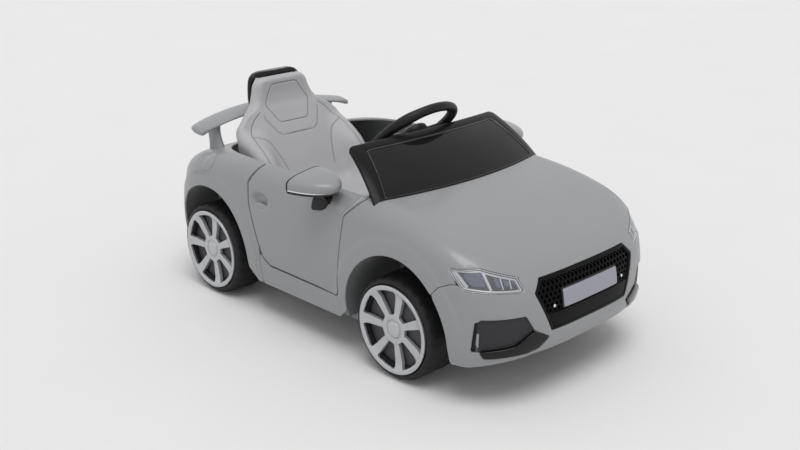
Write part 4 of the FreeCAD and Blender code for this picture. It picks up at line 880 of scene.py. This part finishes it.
PLATE_OUTLINE = [(-80, 178), (80, 178), (80, 212), (-80, 212)]
LOWER_BAR = [(-121, 175), (-107, 146), (107, 146), (121, 175)]
STUD_Y, STUD_Z, STUD_RADIUS = 101, 186, 3
STUD_ANGLES = np.linspace(0, 5.5, 12)
TAIL_BAR = [(155, 248), (252, 244)]
GRILLE_FLOOR, TAIL_FLOOR = 9, 5


def grille():
    patch, bar = makers(end_view, x_sign=1)
    patch("grille_back", grown(GRILLE, 2), BLACK, GRILLE_FLOOR, rounding=4, replaced=["grille_panel"], wall=2,
          spacing=4, gap=0)
    honeycomb("grille_mesh", GRILLE, DEEP_BLACK, (PLATE_OUTLINE, LOWER_BAR), x_sign=1, top=4.2,
              bottom=GRILLE_FLOOR)
    bar("grille_rim", grown(GRILLE, -3), DEEP_BLACK, width=6, top=1.4, bottom=GRILLE_FLOOR, closed=True)
    patch("grille_bar", LOWER_BAR, DEEP_BLACK, depth=2.2, rounding=3, wall=6, roll=1.5)
    patch("number_plate", PLATE_OUTLINE, PLATE, rounding=2, replaced=["number_plate_front"], wall=2, roll=0.6)
    patch("plate_holder", grown(PLATE_OUTLINE, 2.5), GLOSS_BLACK, depth=2.2, rounding=2, wall=5, roll=1)
    for side, sign in SIDES:
        across, up = STUD_RADIUS * np.cos(STUD_ANGLES), STUD_RADIUS * np.sin(STUD_ANGLES)
        stud = np.stack([sign * STUD_Y + across, STUD_Z + up], -1)
        patch("grille_stud_" + side, stud, CHROME, depth=2.6, spacing=1, wall=3, roll=0.5, gap=0)


def intake(side, sign):
    patch, _ = makers(corner_view, x_sign=1, y_sign=sign)
    patch("intake_" + side, grown(INTAKE, 1.5), DARK_PANEL, depth=4, rounding=3,
          replaced=["intake_panel_" + side], wall=2, gap=0)
    patch("slot_back_" + side, grown(SLOT, 2), BLACK, depth=5, rounding=1, wall=1, gap=0)
    patch("splitter_" + side, BLADE, GLOSS_BLACK, depth=-2.6, rounding=2,
          replaced=["splitter_blade_" + side], wall=7, roll=1.6, gap=0.3)


def tail():
    patch, _ = makers(end_view, x_sign=-1)
    patch("tail_back", grown(TAIL_OPENING, 3), GLOSS_BLACK, TAIL_FLOOR, rounding=3, replaced=["tail_panel"],
          wall=3, spacing=4, gap=0)
    honeycomb("tail_mesh", TAIL_OPENING, GLOSS_BLACK, (grown(TAIL_OPENING, -14),), x_sign=-1, top=2.2,
              bottom=TAIL_FLOOR)
    for side, sign in SIDES:
        patch, bar = makers(corner_view, x_sign=-1, y_sign=sign)
        patch("tail_lamp_" + side, TAIL_LAMP, RED_LENS, rounding=LAMP_ROUNDING,
              replaced=["tail_lamp_lens_" + side], wall=2.4, roll=0.6)
        bar("tail_lamp_bar_" + side, TAIL_BAR, SILVER, width=7, top=3.2, bottom=8)
    dress_node("tail_lamp_housings", BLACK)


# Windscreen

SCREEN_HALF, SCREEN_RISE = 218.0, 150.0
FOOT_X, FOOT_SWEEP, FOOT_HALF, FOOT_BELOW, FOOT_RAY = 226, 36, 230, 170.0, 400
HEAD_X, HEAD_SWEEP, HEAD_HALF, HEAD_Z, HEAD_CROWN = 104, 24, 206, 416, 6
BULGE, BULGE_WAY = 24, np.array([0.6, 0, 0.8])
SCREEN_STEP = 0.01
CORNER_STEPS, SIDE_STEPS = 8, 40
FRAME_OUTER = [(-226, -6), (226, -6), (218, 150), (-218, 150)]
FRAME_INNER = [(-202, 4), (202, 4), (186, 129), (-186, 129)]
OUTER_RADII, INNER_RADII = (2, 2, 16, 16), (4, 4, 8, 8)
FRAME_SECTION = ((0, 7), (0, 1.6), (0.03, 0.5), (0.1, 0), (0.9, 0), (0.97, 0.5), (1, 1.6), (1, 7))
BEAD_SECTION = ((-0.3, 1.4), (-0.1, 0.2), (0.3, -0.3), (0.8, -0.3), (1.2, 0.2), (1.4, 1.9))
PANE_MIDDLE = [0, 68]
PANE_HALF, PANE_LOW, PANE_HIGH, PANE_STEP = 207, 1, 135, 8
PANE_FRONT, PANE_BACK = 1.8, 4.2


def screen_points(across, up):
    """Points on the windscreen for shares across and up it."""
    square = across ** 2
    foot = np.stack([FOOT_X - FOOT_SWEEP * square, FOOT_HALF * across, FOOT_BELOW + 0 * across], -1)
    foot = crossing(foot, np.array([0.0, 0.0, 1.0]), FOOT_RAY)
    head = np.stack([HEAD_X - HEAD_SWEEP * square, HEAD_HALF * across, HEAD_Z - HEAD_CROWN * square], -1)
    share = up[..., None]
    return foot * (1 - share) + head * share + BULGE * share * (1 - share) * BULGE_WAY


def screen_layer(at, depth):
    """Points at a depth below the windscreen's face, for distances across and up it."""
    across, up = at[..., 0] / SCREEN_HALF, at[..., 1] / SCREEN_RISE
    along = screen_points(across + SCREEN_STEP, up) - screen_points(across - SCREEN_STEP, up)
    rise = screen_points(across, up + SCREEN_STEP) - screen_points(across, up - SCREEN_STEP)
    normal = unit(np.cross(along, rise))
    normal *= np.where(normal[..., 2:] < 0, -1, 1)
    return screen_points(across, up) - normal * depth


def rounded_path(corners, radii):
    """A closed outline with round corners, always with the same number of points to a corner."""
    corners = np.asarray(corners, float)
    path = []
    for k, radius in enumerate(radii):
        following = (k + 1) % len(corners)
        ahead = unit(corners[following] - corners[k])
        start, end = corners[k] + unit(corners[k - 1] - corners[k]) * radius, corners[k] + ahead * radius
        for t in np.linspace(0, 1, CORNER_STEPS):
            path.append((1 - t) ** 2 * start + 2 * t * (1 - t) * corners[k] + t ** 2 * end)
        goal = corners[following] - ahead * radii[following]
        for t in np.linspace(0, 1, SIDE_STEPS)[1:-1]:
            path.append(end * (1 - t) + goal * t)
    return np.array(path)


def windscreen():
    outer = rounded_path(FRAME_OUTER, OUTER_RADII)
    inner = rounded_path(FRAME_INNER, INNER_RADII)
    rings = [screen_layer(outer * (1 - share) + inner * share, depth) for share, depth in FRAME_SECTION]
    loft("windscreen_surround", np.stack(rings, 1), FRAME_BLACK, "chassis", ["windscreen_frame"], loop=True)
    outward = np.sign(inner - PANE_MIDDLE)
    rings = [screen_layer(inner - outward * inset, depth) for inset, depth in BEAD_SECTION]
    loft("windscreen_bead", np.stack(rings, 1), BEAD_PAINTED_GLINTS, "chassis", loop=True)
    width, height = even(-PANE_HALF, PANE_HALF, PANE_STEP), even(PANE_LOW, PANE_HIGH, PANE_STEP)
    at = np.stack(np.meshgrid(width, height, indexing="ij"), -1)
    sheets = np.stack([screen_layer(at, PANE_FRONT), screen_layer(at, PANE_BACK)])
    quads = grid_quads(len(width), len(height), around=False)
    faces = quads[:, ::-1].tolist() + (quads + len(width) * len(height)).tolist()
    add_mesh("windscreen_glazing", sheets.reshape(-1, 3), faces, PANE, "chassis", ["windscreen_pane"])


# Wheels

WHEEL_Z, WHEEL_INNER = 102.0, 166.0
AXLES = (("front", FRONT_AXLE), ("rear", REAR_AXLE))
SPOKES = 7
SPOKE_TURN = 2 * math.pi / SPOKES
TYRE_PROFILE = [(86.4, 0.6), (94, 0.6), (98.8, 2.6), (101.2, 7), (102, 13), (102, 25), (100.2, 25.8),
                (100.2, 28.4), (102, 29.2), (102, 43), (100.2, 43.8), (100.2, 46.4), (102, 47.2), (102, 62),
                (101.8, 70), (101, 78), (98.8, 84.4), (95.6, 88.2), (92, 89.4), (89.6, 89), (88.5, 86.5),
                (88.5, 82.3), (74.4, 82.3), (74.4, 52), (16, 52), (16, 60), (5.3, 60), (5.3, 28), (16, 28),
                (16, 46), (86.4, 46)]
TYRE_STEPS, TRIM_STEPS, TRIM_INNER, TRIM_STEP = 144, 252, 0.4, 1.8
SHOULDER = (62, 86)
NOTCH_DEPTH, NOTCH_PITCH, NOTCH_LONG = 1.8, 6, 2
TRIM_FACE = [(0, 85.4), (17, 85.4), (18.6, 84.2), (20.2, 86.6), (28, 86.8), (34, 85.4), (66, 87), (74, 89.4),
             (79, 92), (83, 93.4), (86.4, 93), (90, 91)]
TRIM_EDGE = 87.7
WINDOW = [(29, -6.8), (75, -25), (77, 0), (75, 25), (29, 6.8)]
WINDOW_ROUNDING = 4
CAP_PROFILE = [(0.01, 82), (16.4, 82), (16.4, 86.6), (15.4, 87.6), (9, 88.3), (0.01, 88.5)]
BACKING_PROFILE = [(16.5, 73), (74, 73), (74, 76), (16.5, 76)]


def turned(name, profile, place, material, body, replaced=(), count=TYRE_STEPS, cut=0.0):
    """A closed profile of radius and depth turned about an axle; place puts it in the car's frame."""
    radius, depth = np.array(profile).T
    radius = radius - cut
    angle = circle(count)[:, None]
    points = place(radius * np.cos(angle), radius * np.sin(angle), depth + 0 * angle)
    return loft(name, points, material, body, replaced, loop=True)


def wheel_frame(axle_x, sign):
    """What puts points of one wheel in the car's frame."""
    def place(forward, rise, width):
        return np.stack([axle_x + forward, sign * (WHEEL_INNER + width), WHEEL_Z + rise], -1)
    return place


def tyre_notches():
    """How far the notches on its shoulder cut back each point of a tyre."""
    radius, width = np.array(TYRE_PROFILE).T
    on_shoulder = (width > SHOULDER[0]) & (width < SHOULDER[1]) & (radius > TRIM_EDGE)
    notch = np.arange(TYRE_STEPS) % NOTCH_PITCH < NOTCH_LONG
    return NOTCH_DEPTH * (notch[:, None] & on_shoulder)


def wheel_trim(name, axle_x, sign, body, replaced):
    """The silver face: a dished disc with a window between each pair of spokes."""
    angle = circle(TRIM_STEPS)[:, None]
    face_radius, face_width = zip(*TRIM_FACE)
    radius = even(TRIM_INNER, face_radius[-1], TRIM_STEP)[None, :]
    width = np.interp(radius, face_radius, face_width)
    slope = np.gradient(width[0], radius[0])[None, :]
    points = wheel_frame(axle_x, sign)(radius * np.cos(angle), radius * np.sin(angle), width + 0 * angle)
    normals = unit(np.stack([-slope * np.cos(angle), sign + 0 * slope * angle, -slope * np.sin(angle)], -1))

    def field(points):
        forward, rise = points[..., 0] - axle_x, points[..., 2] - WHEEL_Z
        reach = np.hypot(forward, rise)
        turn = np.arctan2(rise, forward)
        turn = turn - np.round(turn / SPOKE_TURN) * SPOKE_TURN
        window = -polygon(reach * np.cos(turn), reach * np.sin(turn), WINDOW, WINDOW_ROUNDING)
        return np.maximum(window, reach - TRIM_EDGE)

    shell_piece(name, (points, normals), field, SILVER, body, replaced, wrap=True, roll=1.1, wall=8, gap=0)


def wheels():
    for end, axle_x in AXLES:
        for side, sign in SIDES:
            wheel = end + "_" + side
            body = "%s_wheel_%s" % (end, side)
            place = wheel_frame(axle_x, sign)
            turned("tyre_%s_moulding" % wheel, TYRE_PROFILE, place, TYRE, body, ["tyre_" + wheel],
                   cut=tyre_notches())
            wheel_trim("spokes_" + wheel, axle_x, sign, body, ["wheel_trim_" + wheel])
            turned("spoke_backing_" + wheel, BACKING_PROFILE, place, SPOKE_SHADE, body)
            turned("hub_cap_" + wheel, CAP_PROFILE, place, SILVER, body)


# Steering wheel

HUB = np.array([50.0, 0.0, 397.0])
COLUMN_TILT = math.radians(48)
COLUMN_UP = np.array([math.sin(COLUMN_TILT), 0, math.cos(COLUMN_TILT)])
COLUMN_SIDE = np.array([0, 1.0, 0])
COLUMN_AXIS = np.array([math.cos(COLUMN_TILT), 0, -math.sin(COLUMN_TILT)])
RING_RADIUS, RING_STEPS, TUBE_STEPS, COLUMN_STEPS = 92.0, 120, 20, 72
TUBE_THIN, GRIP_SWELL, GRIP_AT, GRIP_SPREAD, GRIP_LOWEST = 9.6, 1.4, 0.72, 0.22, -0.3
SPOKE_STATIONS = ((20, 15, 6, 7), (40, 12, 5, 6), (64, 10.5, 4.2, 4), (88, 12, 4.6, 2))
SPOKE_POWER, SPOKE_STEPS = 3.2, 24
INLAY_STATIONS = ((36, 3), (40, 7), (66, 6), (71, 2.5))
INLAY_THICK, INLAY_POWER, INLAY_STEPS = 1.2, 4, 20
INLAY_DEPTH, INLAY_START, INLAY_LEAN = 0.8, 40, 0.05
BOSS_PROFILE = [(20.3, 4), (20.3, -2.6), (21.6, -3.8), (25, -3.6), (29, -0.6), (30, 4), (29, 12), (22, 20),
                (7, 22), (7, 4)]
BEZEL_PROFILE = [(20.4, -2.4), (20.6, -3.8), (21.8, -4.8), (23.2, -4.2), (23.6, -3.2), (22, -2.4)]
HORN_PROFILE = [(0.01, -9), (11, -8.5), (16.5, -7), (19, -4.4), (19.4, -2), (19.4, 0), (0.01, 0)]


def column_place(up, across, depth):
    """Points in the steering wheel's own frame; depth runs away from the driver."""
    up, across, depth = (part[..., None] for part in np.broadcast_arrays(up, across, depth))
    return HUB + up * COLUMN_UP + across * COLUMN_SIDE + depth * COLUMN_AXIS


def steering_ring():
    angle = circle(RING_STEPS)[:, None]
    around = circle(TUBE_STEPS)[None, :]
    swell = np.exp(-((np.abs(np.sin(angle)) - GRIP_AT) / GRIP_SPREAD) ** 2) * (np.cos(angle) > GRIP_LOWEST)
    grip = TUBE_THIN + GRIP_SWELL * swell
    reach = RING_RADIUS + grip * np.cos(around)
    points = column_place(reach * np.cos(angle), reach * np.sin(angle), grip * np.sin(around))
    loft("steering_grip", points, BLACK, "steering", ["steering_wheel"], loop=True)


def steering_spoke(name, up, across):
    rings = []
    for reach, half_wide, half_thick, depth in SPOKE_STATIONS:
        wide, thick = super_ring(half_wide, half_thick, SPOKE_POWER, SPOKE_STEPS).T
        rings.append(column_place(reach * up - wide * across, reach * across + wide * up, depth + thick))
    loft(name, rings, BLACK, "steering")


def spoke_inlay(name, sign):
    rings = []
    for reach, half_wide in INLAY_STATIONS:
        wide, thick = super_ring(half_wide, INLAY_THICK, INLAY_POWER, INLAY_STEPS).T
        depth = INLAY_DEPTH - (reach - INLAY_START) * INLAY_LEAN
        rings.append(column_place(wide, sign * reach, depth + thick))
    loft(name, rings, SILVER, "steering")


def steering_wheel():
    steering_ring()
    for name, up, across in (("right", 0, -1), ("left", 0, 1), ("low", -1, 0)):
        steering_spoke("steering_spoke_" + name, up, across)
    for side, sign in SIDES:
        spoke_inlay("steering_inlay_" + side, sign)
    for name, profile, material, body, replaced in (
            ("steering_boss", BOSS_PROFILE, BLACK, "steering", ()),
            ("steering_bezel", BEZEL_PROFILE, SILVER, "steering", ()),
            ("horn_button", HORN_PROFILE, GLOSS_BLACK, "horn", ["horn_pad"])):
        turned(name, profile, column_place, material, body, replaced, COLUMN_STEPS)


# Seat

SEAT_CENTRE = [(-97, 201), (-95, 215), (-104, 223), (-150, 219), (-205, 214), (-246, 217), (-268, 244),
               (-290, 280), (-312, 315), (-330, 343), (-341, 359), (-350, 373), (-361, 390), (-367, 409),
               (-370, 429), (-372, 440), (-379, 446)]
SEAT_BOLSTER = [(-104, 201), (-103, 226), (-112, 236), (-152, 239), (-202, 241), (-228, 252), (-246, 274),
                (-268, 298), (-304, 322), (-338, 341), (-350, 357), (-357, 372), (-364, 389), (-368, 408),
                (-371, 428), (-373, 439), (-380, 445)]
SEAT_BACK = [(-112, 201), (-125, 201), (-140, 201), (-165, 201), (-215, 201), (-280, 201), (-308, 215),
             (-326, 250), (-342, 288), (-352, 322), (-360, 345), (-366, 362), (-377, 387), (-384, 408),
             (-390, 429), (-392, 439), (-390, 445)]
SEAT_HALF = [146, 147, 148, 149, 150, 152, 154, 155, 155, 152, 144, 126, 94, 82, 75, 67, 57]
SEAT_ROUNDING = 20.0
CHANNEL = (78, 126)
SEAM_WIDTH, SEAM_DEPTH, SEAM_STEPS, LONG_SEAM_STEPS = 1.7, 1.3, 24, 40
SHIELD = [(-36, 421), (36, 421), (62, 377), (40, 331), (-40, 331), (-62, 377)]
SHIELD_ROUNDING = 13
SEAT_SEAMS = [
    [(0, 301), (46, 302), (57, 309), (76, 345), (77, 352)],
    smooth_line([(128, 309), (100, 298), (86, 281), (73, 244), (65, 210)], SEAM_STEPS),
    smooth_line([(84, 363), (106, 344), (124, 318), (129, 300), (131, 273), (133, 217)], LONG_SEAM_STEPS),
]
SEAT_ROWS, SEAT_COLUMNS, BACK_EVERY, EDGE_CROWDING = 230, 150, 3, 0.35


def seat_grid():
    """Front and back points of the seat, and each one's distance along it and across it."""
    table = np.concatenate([SEAT_CENTRE, SEAT_BOLSTER, SEAT_BACK, np.array(SEAT_HALF)[:, None]], 1)
    table = smooth_line(table, SEAT_ROWS)[:, None]
    centre, bolster, back, half = table[..., 0:2], table[..., 2:4], table[..., 4:6], table[..., 6]
    share = np.linspace(-1, 1, SEAT_COLUMNS)[None, :]
    y = half * (np.sin(share * math.pi / 2) * EDGE_CROWDING + share * (1 - EDGE_CROWDING))
    raised = ease(np.abs(y), *CHANNEL)[..., None]
    front = centre * (1 - raised) + bolster * raised
    near_edge = np.clip((np.abs(y) - half + SEAT_ROUNDING) / SEAT_ROUNDING, 0, 1)
    tuck = SEAT_ROUNDING * (1 - np.sqrt(np.clip(1 - near_edge ** 2, 0, 1)))
    inward = unit(back - front)
    front = front + inward * tuck[..., None]
    step = np.linalg.norm(np.diff(centre[:, 0], axis=0), axis=1)
    along = np.concatenate([[0], np.cumsum(step)])[:, None] + 0 * y
    return front, back + 0 * front, inward, y, along


def seat():
    front, back, inward, y, along = seat_grid()
    near = np.abs(polygon(y, along, SHIELD, SHIELD_ROUNDING))
    for seam in SEAT_SEAMS:
        near = np.minimum(near, path_distance(np.abs(y), along, seam))
    groove = np.clip(1 - near / SEAM_WIDTH, 0, 1)
    front = front + inward * (SEAM_DEPTH * groove)[..., None]
    sheet = np.stack([front[..., 0], y, front[..., 1]], -1)
    behind = np.stack([back[..., 0], y, back[..., 1]], -1)[:, ::-BACK_EVERY]
    rings = np.concatenate([sheet, behind], 1)
    piece = loft("seat_moulding", rings, SEAT, "chassis", ["seat"])
    # Painted shade: the grooves are stored as the seam attribute, which darkens them in the seat material.
    groove_shade = np.concatenate([groove, np.zeros(behind.shape[:2])], 1).ravel()
    seam = piece.data.attributes.new("seam", "FLOAT", "POINT")
    seam.data.foreach_set("value", groove_shade.astype(np.float32))


SHELL_LINE = [(-357, 317, 88), (-366, 340, 86), (-372, 356, 85), (-378, 372, 84), (-387, 393, 82),
              (-392, 410, 79), (-397, 430, 74), (-400, 443, 68), (-401, 451, 58), (-402, 454, 46)]
SHELL_HALF, SHELL_POWER, SHELL_ROWS, SHELL_STEPS = 8, 5, 40, 64


def seat_back():
    """The black shell behind the seat."""
    rings = []
    for x, z, half in smooth_line(SHELL_LINE, SHELL_ROWS):
        deep, wide = super_ring(SHELL_HALF, half, SHELL_POWER, SHELL_STEPS).T
        rings.append(np.stack([x - SHELL_HALF + deep, wide, z + 0 * deep], -1))
    loft("seat_shell", rings, GLOSS_BLACK, "chassis", ["seat_back_shell"])


# Spoiler

BLADE_SECTION = [(0.5, 0), (0.46, 2.6), (0.3, 5), (0.1, 6.6), (-0.1, 7), (-0.3, 6), (-0.47, 4.2), (-0.5, 2.4),
                 (-0.48, 1), (-0.3, -1.4), (-0.1, -3), (0.1, -4), (0.3, -4), (0.46, -2.4)]
SPOILER_HALF = 216.0
BLADE_TILT = 0.04
TIP_DROOP, DROOP_BLEND = 7.0, 4
TIP_LONG, TIP_THIN, TIP_POWER, TIP_TAPER = 9, 0.12, 12, 0.18
BLADE_CHORD, BLADE_TAPER, BLADE_STEPS, BLADE_ROWS = 62, 0.12, 57, 61
BLADE_X, BLADE_SWEEP, BLADE_Z, BLADE_ARCH, BLADE_SINK = -436, 24, 368.5, 20, 1.5
STAND_LONG, STAND_WIDE, STAND_POWER, STAND_STEPS, STAND_ROWS = 17, 8, 3, 28, 16
STAND_X, STAND_LEAN, STAND_Y, STAND_Z, STAND_TALL = -412, 10, 165, 288, 68
FOOT_FLARE, HEAD_FLARE = 0.7, 0.35


def spoiler_blade():
    section = smooth_line(BLADE_SECTION + BLADE_SECTION[:1], BLADE_STEPS)[:-1]
    along, height = section.T
    rings = []
    for share in np.sin(np.linspace(-math.pi / 2, math.pi / 2, BLADE_ROWS)):
        tip = np.clip((abs(share) * SPOILER_HALF - SPOILER_HALF + TIP_LONG) / TIP_LONG, 0, 1)
        shrink = max(math.sqrt(1 - tip ** 2), TIP_THIN)
        taper = 1 - BLADE_TAPER * share ** 2 - TIP_TAPER * share ** TIP_POWER
        chord = BLADE_CHORD * taper * (1 - TIP_THIN + TIP_THIN * shrink)
        droop = TIP_DROOP * share ** TIP_POWER * np.clip(0.5 - height / DROOP_BLEND, 0, 1)
        x = BLADE_X + BLADE_SWEEP * share ** 2 + along * chord
        z = BLADE_Z - BLADE_ARCH * share ** 2 + (height - BLADE_SINK) * shrink - BLADE_TILT * along * chord
        rings.append(np.stack([x, SPOILER_HALF * share + 0 * x, z - droop], -1))
    loft("spoiler_wing", rings, BODY, "chassis", ["spoiler_blade"])


def spoiler_stand(name, sign, replaced):
    rings = []
    for share in np.linspace(0, 1, STAND_ROWS):
        flare = 1 + FOOT_FLARE * (1 - share) ** 3 + HEAD_FLARE * share ** 4
        along, across = super_ring(STAND_LONG * flare, STAND_WIDE * flare, STAND_POWER, STAND_STEPS).T
        x = STAND_X - STAND_LEAN * share + STAND_LEAN * (1 - share) ** 2 + along
        z = STAND_Z + STAND_TALL * share - BLADE_TILT * share * along
        rings.append(np.stack([x, sign * STAND_Y + across, z], -1))
    loft(name, rings, BODY, "chassis", replaced)


def spoiler():
    spoiler_blade()
    for (side, sign), replaced in zip(SIDES, (["spoiler_stands"], ())):
        spoiler_stand("spoiler_stand_" + side, sign, replaced)


# Mirrors

MIRROR_LOW, MIRROR_HIGH = 329.0, 374.5
MIRROR_DROP = 15.0
MIRROR_REAR, MIRROR_DEPTH, MIRROR_HALF = 37.0, 80.0, 45.0
MIRROR_Y = 276.0
MIRROR_MIDDLE = 350.0
CHROME_Z = 338.0
CHROME_HALF = 1.2
CHROME_SECTION = ((-1.4, 0), (-CHROME_HALF, 0.7), (CHROME_HALF, 0.7), (1.4, 0))
HALF_POWER, FRONT_POWER, FRONT_ROUND = 3.2, 2.2, 0.85
MIRROR_TAPER, MIRROR_LEAN, LEAST_SHARE, FOOT_BELOW_LOW = 0.12, 0.15, 0.0004, 8
CAP_ROWS, BASE_ROWS, FRONT_STEPS, REAR_STEPS = 40, 14, 45, 17
BASE_SWELL, BASE_LIFT, PLATE_LIFT, PLATE_SWELL, TOP_GAP, FALL_START = 0.2, 1.5, 2, 0.9, 0.1, 2
BACK_DEPTHS = (MIRROR_REAR + 0.8, MIRROR_REAR - 2.2)
PANE_INSET, PANE_DEPTHS = 5, (MIRROR_REAR - 1.8, MIRROR_REAR - 2.8)


def mirror_share(z, power):
    """Share of a mirror's full size at a height."""
    above, below = MIRROR_HIGH - MIRROR_MIDDLE, MIRROR_MIDDLE - MIRROR_LOW + FOOT_BELOW_LOW
    reach = above if z > MIRROR_MIDDLE else below
    return max(1 - (abs(z - MIRROR_MIDDLE) / reach) ** power, LEAST_SHARE) ** (1 / power)


def mirror_fall(y, z):
    """Heights on a mirror whose top falls towards its outer end."""
    outward = np.clip((MIRROR_HALF - y) / (2 * MIRROR_HALF), 0, 1)
    above = np.clip((z - CHROME_Z - FALL_START) / (MIRROR_HIGH - CHROME_Z), 0, 1)
    return z - MIRROR_DROP * outward * above


def mirror_ring(z, sign, swell=0.0):
    """One level of a mirror's shell: flat behind, round in front."""
    angle = np.linspace(-math.pi / 2, math.pi / 2, FRONT_STEPS)
    front = MIRROR_DEPTH * mirror_share(z, FRONT_POWER) * np.abs(np.cos(angle)) ** FRONT_ROUND + swell
    half = (MIRROR_HALF * mirror_share(z, HALF_POWER) + swell) * np.sin(angle)
    side = half * (1 - MIRROR_TAPER * (front / MIRROR_DEPTH)) + MIRROR_LEAN * front
    rear = np.linspace(half[-1], half[0], REAR_STEPS)[1:-1]
    x = np.concatenate([MIRROR_REAR + front, np.full(len(rear), MIRROR_REAR)])
    y = np.concatenate([side, rear])
    return np.stack([x, sign * (MIRROR_Y - y), mirror_fall(y, z)], -1)


def rising(low, high):
    """Heights that crowd together towards the top."""
    return low + (high - low) * np.sin(np.linspace(0, math.pi / 2, CAP_ROWS))


def mirror_plate(name, sign, body, material, inset, depths, replaced=()):
    """A flat plate behind a mirror's cap, smaller than it by an inset."""
    heights = rising(MIRROR_LOW + PLATE_LIFT + inset, MIRROR_HIGH - inset)
    halves = np.array([MIRROR_HALF * mirror_share(z, HALF_POWER) for z in heights]) - inset + PLATE_SWELL
    y = np.concatenate([halves, -halves[::-1]])
    z = mirror_fall(y, np.concatenate([heights, heights[::-1]]))
    rings = [np.stack([np.full(y.shape, x), sign * (MIRROR_Y - y), z], -1) for x in depths]
    loft(name, rings, material, body, replaced)


def mirrors():
    for side, sign in SIDES:
        body = "door_" + side
        heights = rising(CHROME_Z + CHROME_HALF, MIRROR_HIGH - TOP_GAP)
        cap = [mirror_ring(z, sign) for z in heights]
        loft("mirror_cap_" + side, cap, BODY, body, ["mirror_shell_" + side])
        line = [mirror_ring(CHROME_Z + rise, sign, swell) for rise, swell in CHROME_SECTION]
        loft("mirror_line_" + side, line, CHROME, body)
        heights = np.linspace(MIRROR_LOW + BASE_LIFT, CHROME_Z - CHROME_HALF, BASE_ROWS)
        loft("mirror_base_" + side, [mirror_ring(z, sign, BASE_SWELL) for z in heights], BLACK, body)
        mirror_plate("mirror_back_" + side, sign, body, BLACK, 0, BACK_DEPTHS)
        mirror_plate("mirror_pane_" + side, sign, body, MIRROR, PANE_INSET, PANE_DEPTHS,
                     ["mirror_glass_" + side])
        dress_node("mirror_stalk_" + side, BLACK, rounding=2.5)


# Solids that keep their own shape

STEEL_NODES = ("hinge_pins", "rear_axle", "motors", "knuckle_right", "knuckle_left", "tie_rod",
               "steering_column", "floor_screws")


def plain_nodes():
    dress_node("chassis_tub", INNER_GREY)
    for name in ("gearboxes", "battery", "charging_socket"):
        dress_node(name, BLACK)
    for name in STEEL_NODES:
        dress_node(name, STEEL)
    dress_node("arch_liners", LINER_PAINTED_LIGHT)
    dress_node("dashboard", BLACK, rounding=6)
    dress_node("accelerator_pedal", BLACK, rounding=1)
    dress_node("power_button", RED_LENS, rounding=1)
    dress_node("direction_rocker", GLOSS_BLACK, rounding=1)
    dress_node("fuel_flap", BODY, rounding=0.4)


painted_body()
door_details()
for lamp_side, lamp_sign in SIDES:
    headlamp(lamp_side, lamp_sign)
    intake(lamp_side, lamp_sign)
grille()
tail()
windscreen()
wheels()
steering_wheel()
seat()
seat_back()
spoiler()
mirrors()
plain_nodes()


# Camera, light and floor

SENSOR, FOCAL_PIXELS, PHOTO_WIDTH, NEAREST = 36, 1104.67, 800, 0.05
EYE, TARGET, CAMERA_ROLL = (1.6009, -1.5478, 0.9894), (0.0132, 0.0, 0.1821), math.radians(0.14)
SUN_FROM, SUN_STRENGTH, SUN_SPREAD = (0.26, -0.2, 0.94), 1.28, math.radians(34)
FLOOR_HALF = 12.0
FILL_LIGHT = 0.72


def facing(way):
    """Turns of a camera or lamp that looks along a way."""
    return way.to_track_quat("-Z", "Y").to_euler()


def add_camera():
    data = bpy.data.cameras.new("camera")
    data.sensor_width = SENSOR
    data.lens = SENSOR * FOCAL_PIXELS / PHOTO_WIDTH
    data.clip_start = NEAREST
    camera = add_object("camera", data)
    camera.location = EYE
    camera.rotation_euler = facing(Vector(TARGET) - camera.location)
    camera.rotation_euler.rotate_axis("Z", CAMERA_ROLL)
    scene.camera = camera


def add_sun():
    """A broad even light from above."""
    data = bpy.data.lights.new("key", "SUN")
    data.energy = SUN_STRENGTH
    data.angle = SUN_SPREAD
    add_object("key", data).rotation_euler = facing(-Vector(SUN_FROM))


def add_floor():
    recipe = Recipe("pale_floor")
    recipe.paint(recipe.noise(3), colour(233, 233, 233), colour(237, 237, 237))
    recipe.set(Roughness=0.9)
    mesh = bpy.data.meshes.new("floor")
    corners = [(x * FLOOR_HALF, y * FLOOR_HALF, 0) for x, y in ((-1, -1), (1, -1), (1, 1), (-1, 1))]
    mesh.from_pydata(corners, [], [[0, 1, 2, 3]])
    mesh.materials.append(recipe.material)
    floor = add_object("floor", mesh)


def add_world():
    """A pale studio that lights things less than it shows itself."""
    world = bpy.data.worlds.new("studio")
    scene.world = world
    world.use_nodes = True
    tree = world.node_tree
    path = add_node(tree, "ShaderNodeLightPath", {}).outputs
    seen = path["Is Camera Ray"]
    for kind in ("Is Glossy Ray", "Is Transmission Ray"):
        seen = add_node(tree, "ShaderNodeMath", {0: seen, 1: path[kind]}, operation="MAXIMUM").outputs[0]
    strength = add_node(tree, "ShaderNodeMapRange", {"Value": seen, "To Min": FILL_LIGHT, "To Max": 1.0})
    inputs = {"Color": colour(235, 235, 235), "Strength": strength.outputs["Result"]}
    feed(tree, tree.nodes["Background"], inputs)


add_camera()
add_world()
add_floor()
add_sun()
scene.view_settings.view_transform = "Standard"
